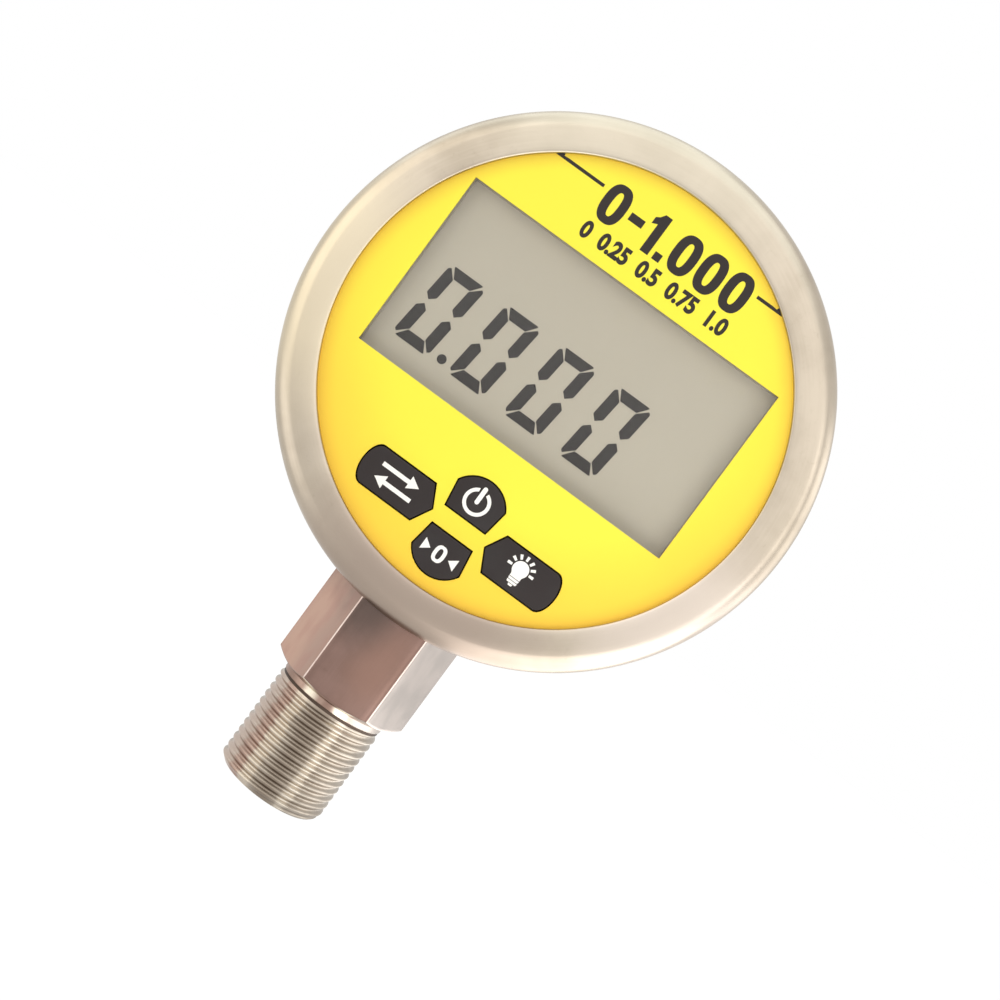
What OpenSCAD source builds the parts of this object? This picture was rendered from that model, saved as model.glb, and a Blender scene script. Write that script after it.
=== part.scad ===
// Battery digital pressure gauge: round steel case, four keys, threaded stem below.
// The stem stands on Z with its end face at z = 0, and the dial faces -Y.

/* [Stem] */
// Major diameter of the process thread
thread_d = 20; // [16:0.5:24]
// Length of the thread from the end face
thread_l = 18; // [12:0.5:24]
// Height of the lead-in chamfer at the end of the thread
thread_chamfer = 0.8; // [0.6:0.1:2]
// Diameter of the plain collar between thread and hexagon
collar_d = 19.3; // [15:0.1:23]
// Length of the plain collar
collar_l = 1.3; // [1:0.1:4]
// Width of the hexagon across its flats
hex_af = 22; // [21:0.5:27]
// Height of the hexagon
hex_l = 18.7; // [14:0.1:26]
// Turn of the hexagon about the stem, in degrees
hex_turn = 4.75; // [0:0.25:15]
// Diameter where the lower chamfer of the hexagon starts
hex_foot_d = 20.8; // [20:0.1:22]
// Height of the lower chamfer of the hexagon
hex_foot_l = 1.3; // [1:0.1:3]
// Height of the upper chamfer of the hexagon
hex_head_l = 0.5; // [0.2:0.1:1]
// Diameter of the neck that passes through the case
neck_d = 18; // [17.4:0.1:18.6]
// Height of the neck above the hexagon
neck_l = 7; // [6.9:0.1:7.5]
// Diameter of the pressure port
port_d = 5; // [3:0.5:8]
// Depth of the sensor chamber from the top of the neck
chamber_l = 18; // [16:0.5:21]

/* [Stem fittings] */
// Thickness of the gasket under the case
stem_gasket_t = 0.5; // [0.3:0.1:1]
// Outer diameter of the stem's lock nut
nut_d = 22; // [21:0.2:22.4]
// Thickness of the lock nut
nut_l = 3; // [2.5:0.1:3.4]
// Width of the four spanner slots in the lock nut
nut_slot_w = 3; // [2:0.2:4]
// Depth of the spanner slots
nut_slot_l = 1.2; // [0.6:0.1:1.8]

/* [Sensor] */
// Diameter of the sensor cell
sensor_d = 15; // [14:0.1:15.6]
// Height of the sensor cell
sensor_l = 6.4; // [5:0.1:7.4]
// Diameter of the sensor's header on top of the cell
header_d = 5.4; // [4:0.1:6]
// Height of the sensor's header
header_l = 1.6; // [1:0.1:2.4]
// Thickness of the sensor's seal ring
seal_ring_t = 1.5; // [1:0.1:2]
// Thickness of the sensor's retaining ring
retainer_l = 3; // [2.4:0.1:3.4]
// Bore of the retaining ring
retainer_bore = 7; // [6.6:0.1:8]

/* [Case] */
// Wall of the case drum
case_wall = 1.2; // [1:0.1:1.5]
// Length of the case drum
case_l = 32.4; // [32:0.2:38]
// Radius of the rounded rear edge
case_round = 1.5; // [0.6:0.1:2]
// Diameter of the pad that the stem's gasket and lock nut clamp
pad_d = 22.6; // [22.4:0.1:22.9]
// Thickness of the pad at its middle
pad_t = 3.2; // [2.8:0.1:3.4]
// Width of the inner ledge that carries the front plate
ledge_w = 1.2; // [0.8:0.1:1.3]
// Thickness of the inner ledge
ledge_t = 1.2; // [0.8:0.1:1.6]
// Distance of the service opening's edge from the drum's outside
service_inset = 8; // [7.8:0.1:10]
// Distance of the cover screws' axes from the drum's outside
cover_inset = 4.8; // [4.6:0.1:4.9]
// Diameter of the cover screws' bosses
boss_d = 6; // [5:0.1:6.2]
// Length of the cover screws' bosses
boss_l = 3.6; // [3.2:0.1:3.8]

/* [Bezel] */
// Outer diameter of the bezel
bezel_d = 90; // [89:0.2:93]
// Distance that the bezel reaches beyond the case drum
bezel_reach = 2; // [1.8:0.1:2.6]
// Width of the bezel's front from its outer edge to the lip's opening
lip_w = 7.5; // [6.5:0.1:9]
// Distance of the bezel's front plane from the stem axis
lip_front = 16; // [15.9:0.1:18]
// Depth of the bezel from front to back
bezel_l = 4.2; // [4:0.1:4.3]
// Radius of the bezel's rolled outer edge
bezel_roll = 3.6; // [3:0.1:3.8]
// Thickness of the lip over the face
lip_t = 1; // [0.7:0.1:1.2]
// Width of the bevel at the lip's inner edge
lip_bevel = 0.4; // [0.2:0.1:0.6]
// Thickness of the seal under the bezel
front_seal_t = 0.55; // [0.4:0.05:0.7]

/* [Face] */
// Thickness of the printed overlay
overlay_t = 0.4; // [0.2:0.05:0.5]
// Thickness of the front plate
plate_t = 2; // [1.8:0.1:2.1]
// Width of the display window as a share of the bezel's diameter
window_w_share = 0.6556; // [0.56:0.0001:0.66]
// Height of the display window as a share of the bezel's diameter
window_h_share = 0.35; // [0.3:0.005:0.355]
// Sideways place of the display as a share of the bezel's diameter
window_x_share = -0.0056; // [-0.01:0.0001:0.01]
// Height of the display's centre as a share of the bezel's diameter
window_z_share = 0.0478; // [0.034:0.0001:0.05]
// Thickness of the clear window pane
pane_t = 1.2; // [0.8:0.1:1.3]
// Overlap of the pane under the overlay on each side
pane_lap = 1.5; // [1:0.1:1.6]

/* [Display] */
// Overlap of the display glass beyond the window at its two sides
glass_lap_w = 1.25; // [0.8:0.05:1.5]
// Overlap of the display glass beyond the window at its top and foot
glass_lap_h = 1.75; // [1.4:0.05:1.9]
// Thickness of each of the two glass sheets
glass_t = 1.2; // [0.7:0.1:1.25]
// Height of the front sheet that is left off along each contact edge
glass_step = 1.2; // [0.8:0.1:1.6]
// Wall of the frame that holds the display glass
frame_wall = 1; // [0.8:0.1:1.2]
// Depth of the frame that holds the display glass
frame_l = 2.8; // [2:0.1:3]
// Height of the elastomer contact strips
strip_h = 2; // [1.4:0.1:2.2]
// Length of the elastomer contact strips as a share of the bezel's diameter
strip_share = 0.6; // [0.5:0.01:0.64]
// Thickness of the backlight panel
backlight_t = 3; // [2:0.1:3.2]

/* [Keys] */
// Sideways place of the key cluster as a share of the bezel's diameter
keys_x_share = 0.0078; // [-0.01:0.0001:0.01]
// Drop of the key cluster below the dial centre as a share of the bezel's diameter
keys_drop_share = 0.2922; // [0.289:0.0001:0.294]
// Length of the two side keys as a share of the bezel's diameter
side_key_w_share = 0.15; // [0.134:0.0001:0.16]
// Height of the two side keys as a share of the bezel's diameter
side_key_h_share = 0.0767; // [0.067:0.0001:0.084]
// Distance of the side keys from the cluster centre as a share of the bezel's diameter
side_reach_share = 0.1333; // [0.131:0.0001:0.14]
// Width of the upper and lower keys as a share of the bezel's diameter
dome_key_w_share = 0.1; // [0.09:0.0001:0.106]
// Height of the upper and lower keys as a share of the bezel's diameter
dome_key_h_share = 0.0778; // [0.071:0.0001:0.084]
// Distance of the upper and lower keys from the cluster centre as a share of the same
dome_reach_share = 0.0594; // [0.058:0.0001:0.061]
// Gap between a key and its opening
key_gap = 0.25; // [0.15:0.05:0.3]
// Height that the keys stand above the overlay
key_proud = 0.25; // [0.1:0.05:0.5]
// Width of the flange that holds a key back as a share of the bezel's diameter
key_flange_share = 0.0078; // [0.006:0.0001:0.009]
// Thickness of the key flange
key_flange_t = 0.8; // [0.6:0.1:1]
// Diameter of the post behind a key
key_post_d = 3.2; // [2.4:0.1:4]
// Travel of the keys
key_travel = 0.4; // [0.3:0.05:0.5]

/* [Circuit board] */
// Distance of the circuit board's and the battery tray's edge from the drum's outside
board_inset = 3.5; // [3.3:0.1:4]
// Thickness of the circuit board
board_t = 1.6; // [1:0.1:2]
// Height of the board's and the tray's flat foot above the stem's neck
board_lift = 0.9; // [0.7:0.1:1.2]
// Distance from the front plate to the circuit board
board_gap = 6.2; // [6:0.1:6.6]
// Width of a key switch
switch_w = 5; // [4.6:0.1:5.4]
// Height of a key switch
switch_l = 3.4; // [3:0.1:3.5]
// Diameter of a key switch's plunger
plunger_d = 3; // [2:0.1:3.4]
// Height of the plunger above the switch
plunger_l = 1; // [0.8:0.05:1.1]
// Depth of the plunger inside the switch
plunger_seat_l = 1; // [0.8:0.1:1.2]
// Sideways place of the two upper spacers as a share of the bezel's diameter
upper_x_share = 0.2667; // [0.26:0.0001:0.27]
// Height of the two upper spacers as a share of the bezel's diameter
upper_z_share = 0.3; // [0.298:0.0005:0.302]
// Sideways place of the two lower spacers as a share of the bezel's diameter
lower_x_share = 0.3044; // [0.295:0.0001:0.308]
// Drop of the two lower spacers as a share of the bezel's diameter
lower_z_share = 0.2628; // [0.26:0.0001:0.265]
// Diameter of the front plate's bosses
post_boss_d = 5.6; // [5:0.1:5.7]
// Width across the flats of the spacers
spacer_af = 4.5; // [4:0.1:5]
// Length of the spacers between board and tray
spacer_l = 8.3; // [8:0.1:9]
// Diameter of the studs and screws on the spacers
stud_d = 2.4; // [2:0.1:2.6]
// Length of the spacers' studs
stud_l = 5.6; // [4:0.1:6]

/* [Board parts] */
// Width and depth of the controller chip
controller_w = 10; // [7:0.5:12]
// Width of the converter chip
converter_w = 6; // [4:0.5:8]
// Thickness of the chips
chip_t = 1.5; // [1:0.1:2]
// Length of the crystal can
crystal_w = 8; // [5:0.5:10]
// Diameter of the crystal can
crystal_d = 2.6; // [2:0.1:3]
// Width of the lead sockets
socket_w = 8; // [6:0.5:10]
// Height of the lead sockets
socket_h = 4; // [3:0.2:4.6]
// Depth of the lead sockets
socket_l = 4.4; // [4:0.1:5]
// Diameter of an insulated lead
lead_d = 1.1; // [0.9:0.1:1.2]

/* [Battery tray] */
// Diameter of a battery cell
cell_d = 10.5; // [10:0.1:10.8]
// Length of a battery cell without its nub
cell_l = 43.6; // [42:0.1:44]
// Diameter of the cell's nub
nub_d = 3.8; // [3:0.1:4.4]
// Height of the cell's nub
nub_l = 0.9; // [0.6:0.1:1.2]
// Gap between neighbouring cells
cell_gap = 1.4; // [1.2:0.1:1.6]
// Height of the tray's centre above the dial centre
tray_z = 1.4; // [1:0.1:1.6]
// Thickness of the tray floor
tray_t = 1.5; // [1.2:0.1:1.7]
// Wall of the tray
tray_wall = 1.5; // [1:0.1:1.7]
// Height of the tray walls above the floor
tray_l = 8; // [6:0.1:9]
// Height of the ribs between the cells
rib_l = 2.4; // [1:0.1:3]
// Thickness of the contact plates
contact_t = 0.4; // [0.3:0.05:0.5]
// Width of a contact plate
contact_w = 8; // [6:0.2:8.6]
// Length of a contact spring under load
spring_l = 3.2; // [2.6:0.1:3.6]
// Diameter of a contact spring at its foot
spring_d = 7; // [6:0.1:7.4]
// Diameter of a contact spring at its tip
spring_tip_d = 4.4; // [3.6:0.1:5]
// Wire diameter of the contact springs
spring_wire = 0.6; // [0.4:0.05:0.8]
// Diameter of the tray screws' heads
tray_screw_head_d = 4; // [3.4:0.1:4.4]
// Height of the tray screws' heads
tray_screw_head_l = 1.4; // [1:0.1:1.8]
// Length of the tray screws' shanks
tray_screw_l = 5; // [4:0.1:6]

/* [Rear cover] */
// Thickness of the rear cover
cover_t = 1.5; // [1.2:0.1:1.8]
// Distance of the cover's raised middle from the drum's outside
dish_inset = 12; // [11:0.2:16]
// Height of the raised middle of the rear cover
dish_l = 1; // [0.5:0.1:1.4]
// Width of the dish's slanted side
dish_slope = 1.5; // [1:0.1:2.5]
// Thickness of the rear gasket
rear_gasket_t = 0.6; // [0.4:0.1:0.9]
// Diameter of the cover screws
cover_screw_d = 3; // [2.5:0.1:3.2]
// Diameter of the cover screws' heads
cover_head_d = 5.6; // [5:0.1:5.8]
// Height of the cover screws' heads
cover_head_l = 1.7; // [1.3:0.1:1.8]
// Length of the cover screws' shanks
cover_screw_l = 6; // [5:0.1:7]
// Width of the cross recess in the screw heads
recess_w = 0.8; // [0.5:0.1:1]
// Depth of the cross recess in the screw heads
recess_l = 1; // [0.6:0.1:1.2]

/* [Fits] */
// Radial clearance of pieces that are assembled and stay put
seat_gap = 0.05; // [0.03:0.01:0.08]
// Clearance between faces that are stacked
stack_gap = 0.1; // [0.06:0.01:0.15]
// Clearance round pieces that move
move_gap = 0.3; // [0.2:0.05:0.35]
// Overrun of all cuts
cut = 1; // [0.5:0.1:1]

/* [Hidden] */

// Facets of large and of small round pieces
round_fn = 120;
small_fn = 48;

// Heights along the stem
shoulder_z = thread_l + collar_l;
hex_top = shoulder_z + hex_l;
neck_top = hex_top + neck_l;
pad_z = hex_top + stem_gasket_t;
case_d = bezel_d - 2 * bezel_reach;
dial_z = pad_z + case_d / 2;
hex_r = hex_af / sqrt(3);
chamber_z = neck_top - chamber_l;
chamber_r = sensor_d / 2 + stack_gap;
seal_ring_z = chamber_z + seat_gap;
sensor_z = seal_ring_z + seal_ring_t;
retainer_z = sensor_z + sensor_l + seat_gap;
nut_z = pad_z + pad_t;

// Depths behind the dial, counted backwards along +Y
lip_y = -lip_front;
overlay_y = lip_y + lip_t;
plate_y = overlay_y + overlay_t;
plate_back = plate_y + plate_t;
board_y = plate_back + board_gap;
board_back = board_y + board_t;
tray_y = board_back + spacer_l;
tray_floor = tray_y + tray_t;
cell_y = tray_floor + move_gap + cell_d / 2;
case_front = overlay_y + seat_gap + front_seal_t;
case_back = case_front + case_l;
cover_y = case_back + rear_gasket_t;
bezel_back = lip_y + bezel_l;
case_r = case_d / 2;
case_in = case_r - case_wall;
face_r = case_in - 2 * stack_gap;

// Diameters that follow the case and the bezel
lip_d = bezel_d - 2 * lip_w;
service_d = case_d - 2 * service_inset;
cover_pcd = case_d - 2 * cover_inset;
dish_d = case_d - 2 * dish_inset;
board_d = case_d - 2 * board_inset;
board_cut = dial_z - neck_top - board_lift;
cover_screw_end = cover_y + cover_t - cover_screw_l;

// Sizes and places on the face
window_w = window_w_share * bezel_d;
window_h = window_h_share * bezel_d;
window_x = window_x_share * bezel_d;
window_z = window_z_share * bezel_d;
keys_x = keys_x_share * bezel_d;
keys_drop = keys_drop_share * bezel_d;
side_key_w = side_key_w_share * bezel_d;
side_key_h = side_key_h_share * bezel_d;
side_key_reach = side_reach_share * bezel_d;
dome_key_w = dome_key_w_share * bezel_d;
dome_key_h = dome_key_h_share * bezel_d;
dome_key_reach = dome_reach_share * bezel_d;
key_flange_w = key_flange_share * bezel_d;
strip_w = strip_share * bezel_d;
upper_post = [upper_x_share * bezel_d, upper_z_share * bezel_d];
lower_post = [lower_x_share * bezel_d, lower_z_share * bezel_d];

// Display stack
lcd_y = plate_back + stack_gap;
lcd_back = lcd_y + 2 * glass_t;
pane_w = window_w + 2 * pane_lap;
pane_h = window_h + 2 * pane_lap;
glass_w = window_w + 2 * glass_lap_w;
glass_h = window_h + 2 * glass_lap_h;
frame_w = glass_w + 2 * (stack_gap + frame_wall);
frame_h = glass_h + 2 * (stack_gap + frame_wall);
strip_reach = glass_h / 2 - strip_h / 2 - glass_step / 2;
backlight_h = 2 * (strip_reach - strip_h / 2 - move_gap);

// Keys: name, place on the dial, turn of the outline, and form
key_flange_y = plate_back + stack_gap;
key_post_y = key_flange_y + key_flange_t;
switch_y = board_y - switch_l;
plunger_y = switch_y - plunger_l;
key_names = ["mode", "power", "light", "tare"];
key_places = [[keys_x - side_key_reach, -keys_drop], [keys_x, dome_key_reach - keys_drop],
    [keys_x + side_key_reach, -keys_drop], [keys_x, -dome_key_reach - keys_drop]];
key_turns = [0, 0, 180, 180];

// Shares of a side key's length that its point and its rounded end take
key_tip_share = 0.14;
key_end_share = 0.14;
// Shares of a domed key's size: half width of its foot, and height of its shoulders
key_foot_share = 0.425;
key_shoulder_share = 0.123;

// Places on the dial, as seen from the front
post_places = [for (p = [upper_post, -lower_post], s = [-1, 1]) [s * abs(p.x), p.y]];
cover_screw_angles = [45, 135, 225, 315];
cell_pitch = cell_d + cell_gap;
cell_rows = [-1, 0, 1];
tray_in_w = cell_l + nub_l + spring_l + 2 * (contact_t + move_gap);
tray_in_h = 3 * cell_d + 2 * cell_gap + 2 * move_gap;
sensor_socket_place = [0, -board_cut + 2 * socket_h];
battery_socket_place = [1.5 * socket_w - lower_post.x, socket_h - lower_post.y];
lead_rows = [battery_socket_place.x - 2 * lead_d, battery_socket_place.x + 2 * lead_d];
lead_hole_z = tray_z - tray_in_h / 2 - tray_wall - 2 * lead_d;

// Points on a circular arc
function arc(centre, r, from, to, steps) =
    [for (i = [0:steps]) let (a = from + (to - from) * i / steps) centre + r * [cos(a), sin(a)]];

// Outline of a side key that points to the right, in a box of w by h round the origin
function side_key_points(w, h, steps) = let (e = key_end_share * w) concat(
    [[w / 2, 0], [w / 2 - key_tip_share * w, h / 2]],
    [for (i = [0:steps]) let (a = 90 + 180 * i / steps) [e - w / 2 + e * cos(a), h / 2 * sin(a)]],
    [[w / 2 - key_tip_share * w, -h / 2]]);

// Outline of a domed key with its dome on top, in a box of w by h round the origin
function dome_key_points(w, h, steps) = let (
    rise = (0.5 - key_shoulder_share) * h,
    r = (w * w / 4 + rise * rise) / (2 * rise),
    half = asin(w / 2 / r)) concat(
    [[-key_foot_share * w, -h / 2], [key_foot_share * w, -h / 2]],
    arc([0, h / 2 - r], r, 90 - half, 90 + half, steps));

// Rings of points round a lead's route, and the tube that joins them
function unit(v) = v / norm(v);
function heading(route, i) = unit(route[min(i + 1, len(route) - 1)] - route[max(i - 1, 0)]);
function ring(route, i, r, sides) = let (
    d = heading(route, i), u = unit([1, 0, 0] - d * d.x), v = cross(d, u))
    [for (k = [0:sides - 1]) route[i] + r * (cos(360 * k / sides) * u + sin(360 * k / sides) * v)];

module tube(route, d, sides = 8) {
    n = len(route);
    points = [for (i = [0:n - 1]) each ring(route, i, d / 2, sides)];
    sides_faces = [for (i = [0:n - 2], k = [0:sides - 1]) let (m = (k + 1) % sides)
        [i * sides + k, (i + 1) * sides + k, (i + 1) * sides + m, i * sides + m]];
    foot = [for (k = [0:sides - 1]) k];
    head = [for (k = [0:sides - 1]) n * sides - 1 - k];
    polyhedron(points, concat(sides_faces, [foot, head]));
}

// Turned piece about the dial axis: x of the outline is its radius and y its depth
module turned(fn = round_fn) {
    translate([0, 0, dial_z]) rotate([-90, 0, 0]) rotate_extrude($fn = fn) children();
}

// Flat piece of the dial: its outline is seen from the front, and its front face is at a depth
module slab(front, thick) {
    translate([0, front + thick, dial_z]) rotate([90, 0, 0]) linear_extrude(height = thick) children();
}

// Round piece along the depth of the dial, at a place on it
module rod(place, front, length, d) {
    slab(front, length) translate(place) circle(d = d, $fn = small_fn);
}

module box_outline(w, h, x = window_x, z = window_z) {
    translate([x, z]) square([w, h], center = true);
}

// Outline of one key or its opening, grown by a gap on every side
module key_outline(i, grow = 0) {
    translate(key_places[i]) rotate(key_turns[i])
        if (i % 2 == 0) polygon(side_key_points(side_key_w + 2 * grow, side_key_h + 2 * grow, 16));
        else polygon(dome_key_points(dome_key_w + 2 * grow, dome_key_h + 2 * grow, 14));
}

// Disc behind the face with its foot cut flat above the stem's neck
module cut_disc(front, thick, d) {
    intersection() {
        slab(front, thick) circle(d = d, $fn = round_fn);
        slab(front - cut, thick + 2 * cut) translate([-d, -board_cut]) square([2 * d, 2 * d]);
    }
}

module ring_on_stem(z, l, outer, inner) {
    translate([0, 0, z]) difference() {
        cylinder(h = l, d = outer, $fn = small_fn * 2);
        translate([0, 0, -cut]) cylinder(h = l + 2 * cut, d = inner, $fn = small_fn * 2);
    }
}

// Rolled steel ring that holds the face in the case
module bezel_ring() {
    roll_r = bezel_d / 2 - bezel_roll;
    roll_y = lip_y + bezel_roll;
    back_round = bezel_back - roll_y;
    skirt_r = case_r + seat_gap;
    color([0.80, 0.76, 0.70]) turned() polygon(concat(
        [[lip_d / 2, overlay_y], [lip_d / 2, lip_y + lip_bevel], [lip_d / 2 + lip_bevel, lip_y]],
        arc([roll_r, roll_y], bezel_roll, -90, 0, 12),
        arc([bezel_d / 2 - back_round, roll_y], back_round, 0, 90, 4),
        [[skirt_r, bezel_back], [skirt_r, overlay_y]]));
}

module front_seal() {
    color([0.12, 0.12, 0.12]) turned()
        translate([case_in + seat_gap, overlay_y + seat_gap / 2])
            square([case_wall - 2 * seat_gap, front_seal_t]);
}

// Printed film on the face, open at the window and the keys
module face_overlay() {
    color([0.98, 0.88, 0.18]) difference() {
        slab(overlay_y, overlay_t) circle(r = face_r, $fn = round_fn);
        slab(overlay_y - cut, overlay_t + 2 * cut) {
            box_outline(window_w, window_h);
            for (i = [0:3]) key_outline(i, key_gap);
        }
    }
}

// Moulded plate behind the film, with the display frame and the board's bosses
module front_plate() {
    color([0.16, 0.16, 0.17]) difference() {
        union() {
            slab(plate_y, plate_t) circle(r = face_r, $fn = round_fn);
            slab(plate_back, frame_l) box_outline(frame_w, frame_h);
            for (p = post_places) rod(p, plate_back, board_gap, post_boss_d);
        }
        slab(plate_y - cut, pane_t + cut) box_outline(pane_w + 2 * seat_gap, pane_h + 2 * seat_gap);
        slab(plate_y, plate_t + cut) box_outline(window_w, window_h);
        slab(plate_back, frame_l + cut)
            box_outline(glass_w + 2 * stack_gap, glass_h + 2 * stack_gap);
        for (i = [0:3]) slab(plate_y - cut, plate_t + 2 * cut) key_outline(i, key_gap);
        for (p = post_places) rod(p, board_y - stud_l - stack_gap, stud_l + cut, stud_d + 2 * seat_gap);
    }
}

module display_window() {
    color([0.80, 0.84, 0.82, 0.35]) slab(plate_y, pane_t - seat_gap) box_outline(pane_w, pane_h);
}

// Two glass sheets, the front one set back along its contact edges
module lcd_panel() {
    color([0.74, 0.72, 0.64]) {
        slab(lcd_y, glass_t) box_outline(glass_w, glass_h - 2 * glass_step);
        slab(lcd_y + glass_t, glass_t) box_outline(glass_w, glass_h);
    }
}

module contact_strips() {
    color([0.55, 0.42, 0.40])
        for (s = [-1, 1])
            slab(lcd_back + seat_gap, board_y - lcd_back - 2 * seat_gap)
                box_outline(strip_w, strip_h, window_x, window_z + s * strip_reach);
}

module backlight_panel() {
    color([0.93, 0.94, 0.92])
        slab(lcd_back + stack_gap, backlight_t) box_outline(strip_w, backlight_h);
}

// One key: its cap, the flange behind the front plate and the post to the switch
module key_cap(i) {
    cap_y = overlay_y - key_proud;
    color([0.20, 0.18, 0.19]) {
        slab(cap_y, key_flange_y - cap_y) key_outline(i);
        slab(key_flange_y, key_flange_t) key_outline(i, key_flange_w);
        rod(key_places[i], key_post_y, plunger_y - seat_gap - key_post_y, key_post_d);
    }
}

module mode_key() key_cap(0);
module power_key() key_cap(1);
module light_key() key_cap(2);
module tare_key() key_cap(3);

module key_plunger(i) {
    color([0.75, 0.72, 0.62]) rod(key_places[i], plunger_y, plunger_l + plunger_seat_l, plunger_d);
}

module mode_plunger() key_plunger(0);
module power_plunger() key_plunger(1);
module light_plunger() key_plunger(2);
module tare_plunger() key_plunger(3);

// Four switch bodies on the board, each open for its plunger
module key_switches() {
    seat_l = plunger_seat_l + key_travel + stack_gap;
    color([0.30, 0.30, 0.32]) for (p = key_places) difference() {
        slab(switch_y, switch_l) translate(p) square(switch_w, center = true);
        rod(p, switch_y - cut, seat_l + cut, plunger_d + 2 * move_gap);
    }
}

module main_board() {
    color([0.10, 0.38, 0.22]) difference() {
        cut_disc(board_y, board_t, board_d);
        for (p = post_places) rod(p, board_y - cut, board_t + 2 * cut, stud_d + 2 * stack_gap);
    }
}

// Controller, converter and crystal on the back of the board
module board_chips() {
    controller_place = [-controller_w, controller_w];
    converter_place = [controller_w, -converter_w];
    crystal_place = [controller_w, controller_w];
    color([0.13, 0.13, 0.14]) {
        slab(board_back, chip_t) translate(controller_place) square(controller_w, center = true);
        slab(board_back, chip_t) translate(converter_place) square(converter_w, center = true);
    }
    color([0.78, 0.78, 0.76]) slab(board_back, crystal_d) translate(crystal_place) {
        for (s = [-1, 1])
            translate([s * (crystal_w - crystal_d) / 2, 0]) circle(d = crystal_d, $fn = small_fn);
        square([crystal_w - crystal_d, crystal_d], center = true);
    }
}

// Sockets of the sensor's and the battery's leads, open at the back
module lead_sockets() {
    wall = lead_d / 2;
    color([0.92, 0.90, 0.84]) for (p = [sensor_socket_place, battery_socket_place]) difference() {
        slab(board_back, socket_l) translate(p) square([socket_w, socket_h], center = true);
        slab(board_back + socket_l / 2, socket_l) translate(p)
            square([socket_w - 2 * wall, socket_h - 2 * wall], center = true);
    }
}

// Hexagonal spacers with a stud that passes through the board
module board_spacers() {
    color([0.80, 0.68, 0.38]) for (p = post_places) difference() {
        union() {
            slab(board_back, spacer_l) translate(p) circle(d = spacer_af / cos(30), $fn = 6);
            rod(p, board_y - stud_l, stud_l + board_t + spacer_l / 2, stud_d);
        }
        rod(p, tray_y - tray_screw_l, tray_screw_l + cut, stud_d + 2 * seat_gap);
    }
}

// Round tray with a box for three cells
module battery_tray() {
    wall_w = tray_in_w + 2 * tray_wall;
    wall_h = tray_in_h + 2 * tray_wall;
    color([0.14, 0.14, 0.15]) difference() {
        union() {
            cut_disc(tray_y, tray_t, board_d);
            slab(tray_floor, tray_l) box_outline(wall_w, wall_h, 0, tray_z);
        }
        difference() {
            slab(tray_floor, tray_l + cut) box_outline(tray_in_w, tray_in_h, 0, tray_z);
            for (s = [-1, 1]) slab(tray_floor - cut, rib_l + cut)
                box_outline(cell_l / 2, cell_gap - 2 * seat_gap, 0, tray_z + s * cell_pitch / 2);
        }
        for (p = post_places) rod(p, tray_y - cut, tray_t + 2 * cut, stud_d + 2 * stack_gap);
        for (x = lead_rows) rod([x, lead_hole_z], tray_y - cut, tray_t + 2 * cut, lead_d + 2 * move_gap);
    }
}

// Screw along the depth with a domed head at the back and a cross recess
module screw(place, head_y, shank_l, shank_d, head_d, head_l) {
    difference() {
        union() {
            rod(place, head_y - shank_l, shank_l, shank_d);
            translate([place.x, head_y, dial_z + place.y]) rotate([-90, 0, 0])
                cylinder(h = head_l, d1 = head_d, d2 = head_d - head_l, $fn = small_fn);
        }
        slab(head_y + head_l - recess_l, recess_l + cut) translate(place) for (a = [0, 90])
            rotate(a) square([head_d / 2, recess_w], center = true);
    }
}

module tray_screws() {
    color([0.72, 0.72, 0.70]) for (p = post_places)
        screw(p, tray_floor + seat_gap, tray_screw_l, stud_d, tray_screw_head_d, tray_screw_head_l);
}

// Three cells side by side, turned end for end in turn
module battery_cells() {
    foot_x = cell_l / 2 + nub_l / 2 - spring_l / 2;
    color([0.25, 0.33, 0.45]) for (k = cell_rows) let (turn = k == 0 ? 180 : 0)
        translate([0, cell_y, dial_z + tray_z + k * cell_pitch]) rotate([0, 0, turn])
            translate([-foot_x, 0, 0]) rotate([0, 90, 0]) {
                cylinder(h = cell_l, d = cell_d, $fn = small_fn);
                cylinder(h = cell_l + nub_l, d = nub_d, $fn = small_fn);
            }
}

// Conical contact springs at the flat ends of the cells
module contact_springs() {
    foot_x = tray_in_w / 2 - contact_t - move_gap / 2;
    tip_x = cell_l / 2 + nub_l / 2 - spring_l / 2 + move_gap / 2;
    color([0.82, 0.80, 0.76]) for (k = cell_rows) let (turn = k == 0 ? 180 : 0)
        translate([0, cell_y, dial_z + tray_z + k * cell_pitch]) rotate([0, 0, turn])
            translate([-foot_x, 0, 0]) rotate([0, 90, 0]) rotate_extrude($fn = small_fn)
                polygon([[spring_d / 2 - spring_wire, 0], [spring_d / 2, 0],
                    [spring_tip_d / 2, foot_x - tip_x], [spring_tip_d / 2 - spring_wire, foot_x - tip_x]]);
}

// Sheet contacts at both ends of each cell
module contact_plates() {
    plate_x = tray_in_w / 2 - contact_t / 2 - seat_gap;
    color([0.80, 0.78, 0.72]) for (k = cell_rows, s = [-1, 1])
        slab(tray_floor + seat_gap, tray_l)
            box_outline(contact_t, contact_w, s * plate_x, tray_z + k * cell_pitch);
}

// Leads from the tray's contacts to the board
module battery_leads() {
    start_y = tray_floor + 2 * lead_d;
    end_y = board_back + socket_l / 2 + seat_gap;
    top = dial_z + lead_hole_z;
    bottom = dial_z + battery_socket_place.y;
    for (i = [0, 1]) let (x = lead_rows[i], half = (top + bottom) / 2)
        color(i == 0 ? [0.75, 0.12, 0.10] : [0.10, 0.10, 0.10]) tube([
            [x, start_y, top], [x, tray_floor, top], [x, tray_y, top],
            [x, tray_y - lead_d, top], [x, (tray_y + end_y) / 2, half],
            [x, end_y + 2 * lead_d, bottom], [x, end_y + lead_d, bottom], [x, end_y, bottom]], lead_d);
}

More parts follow.
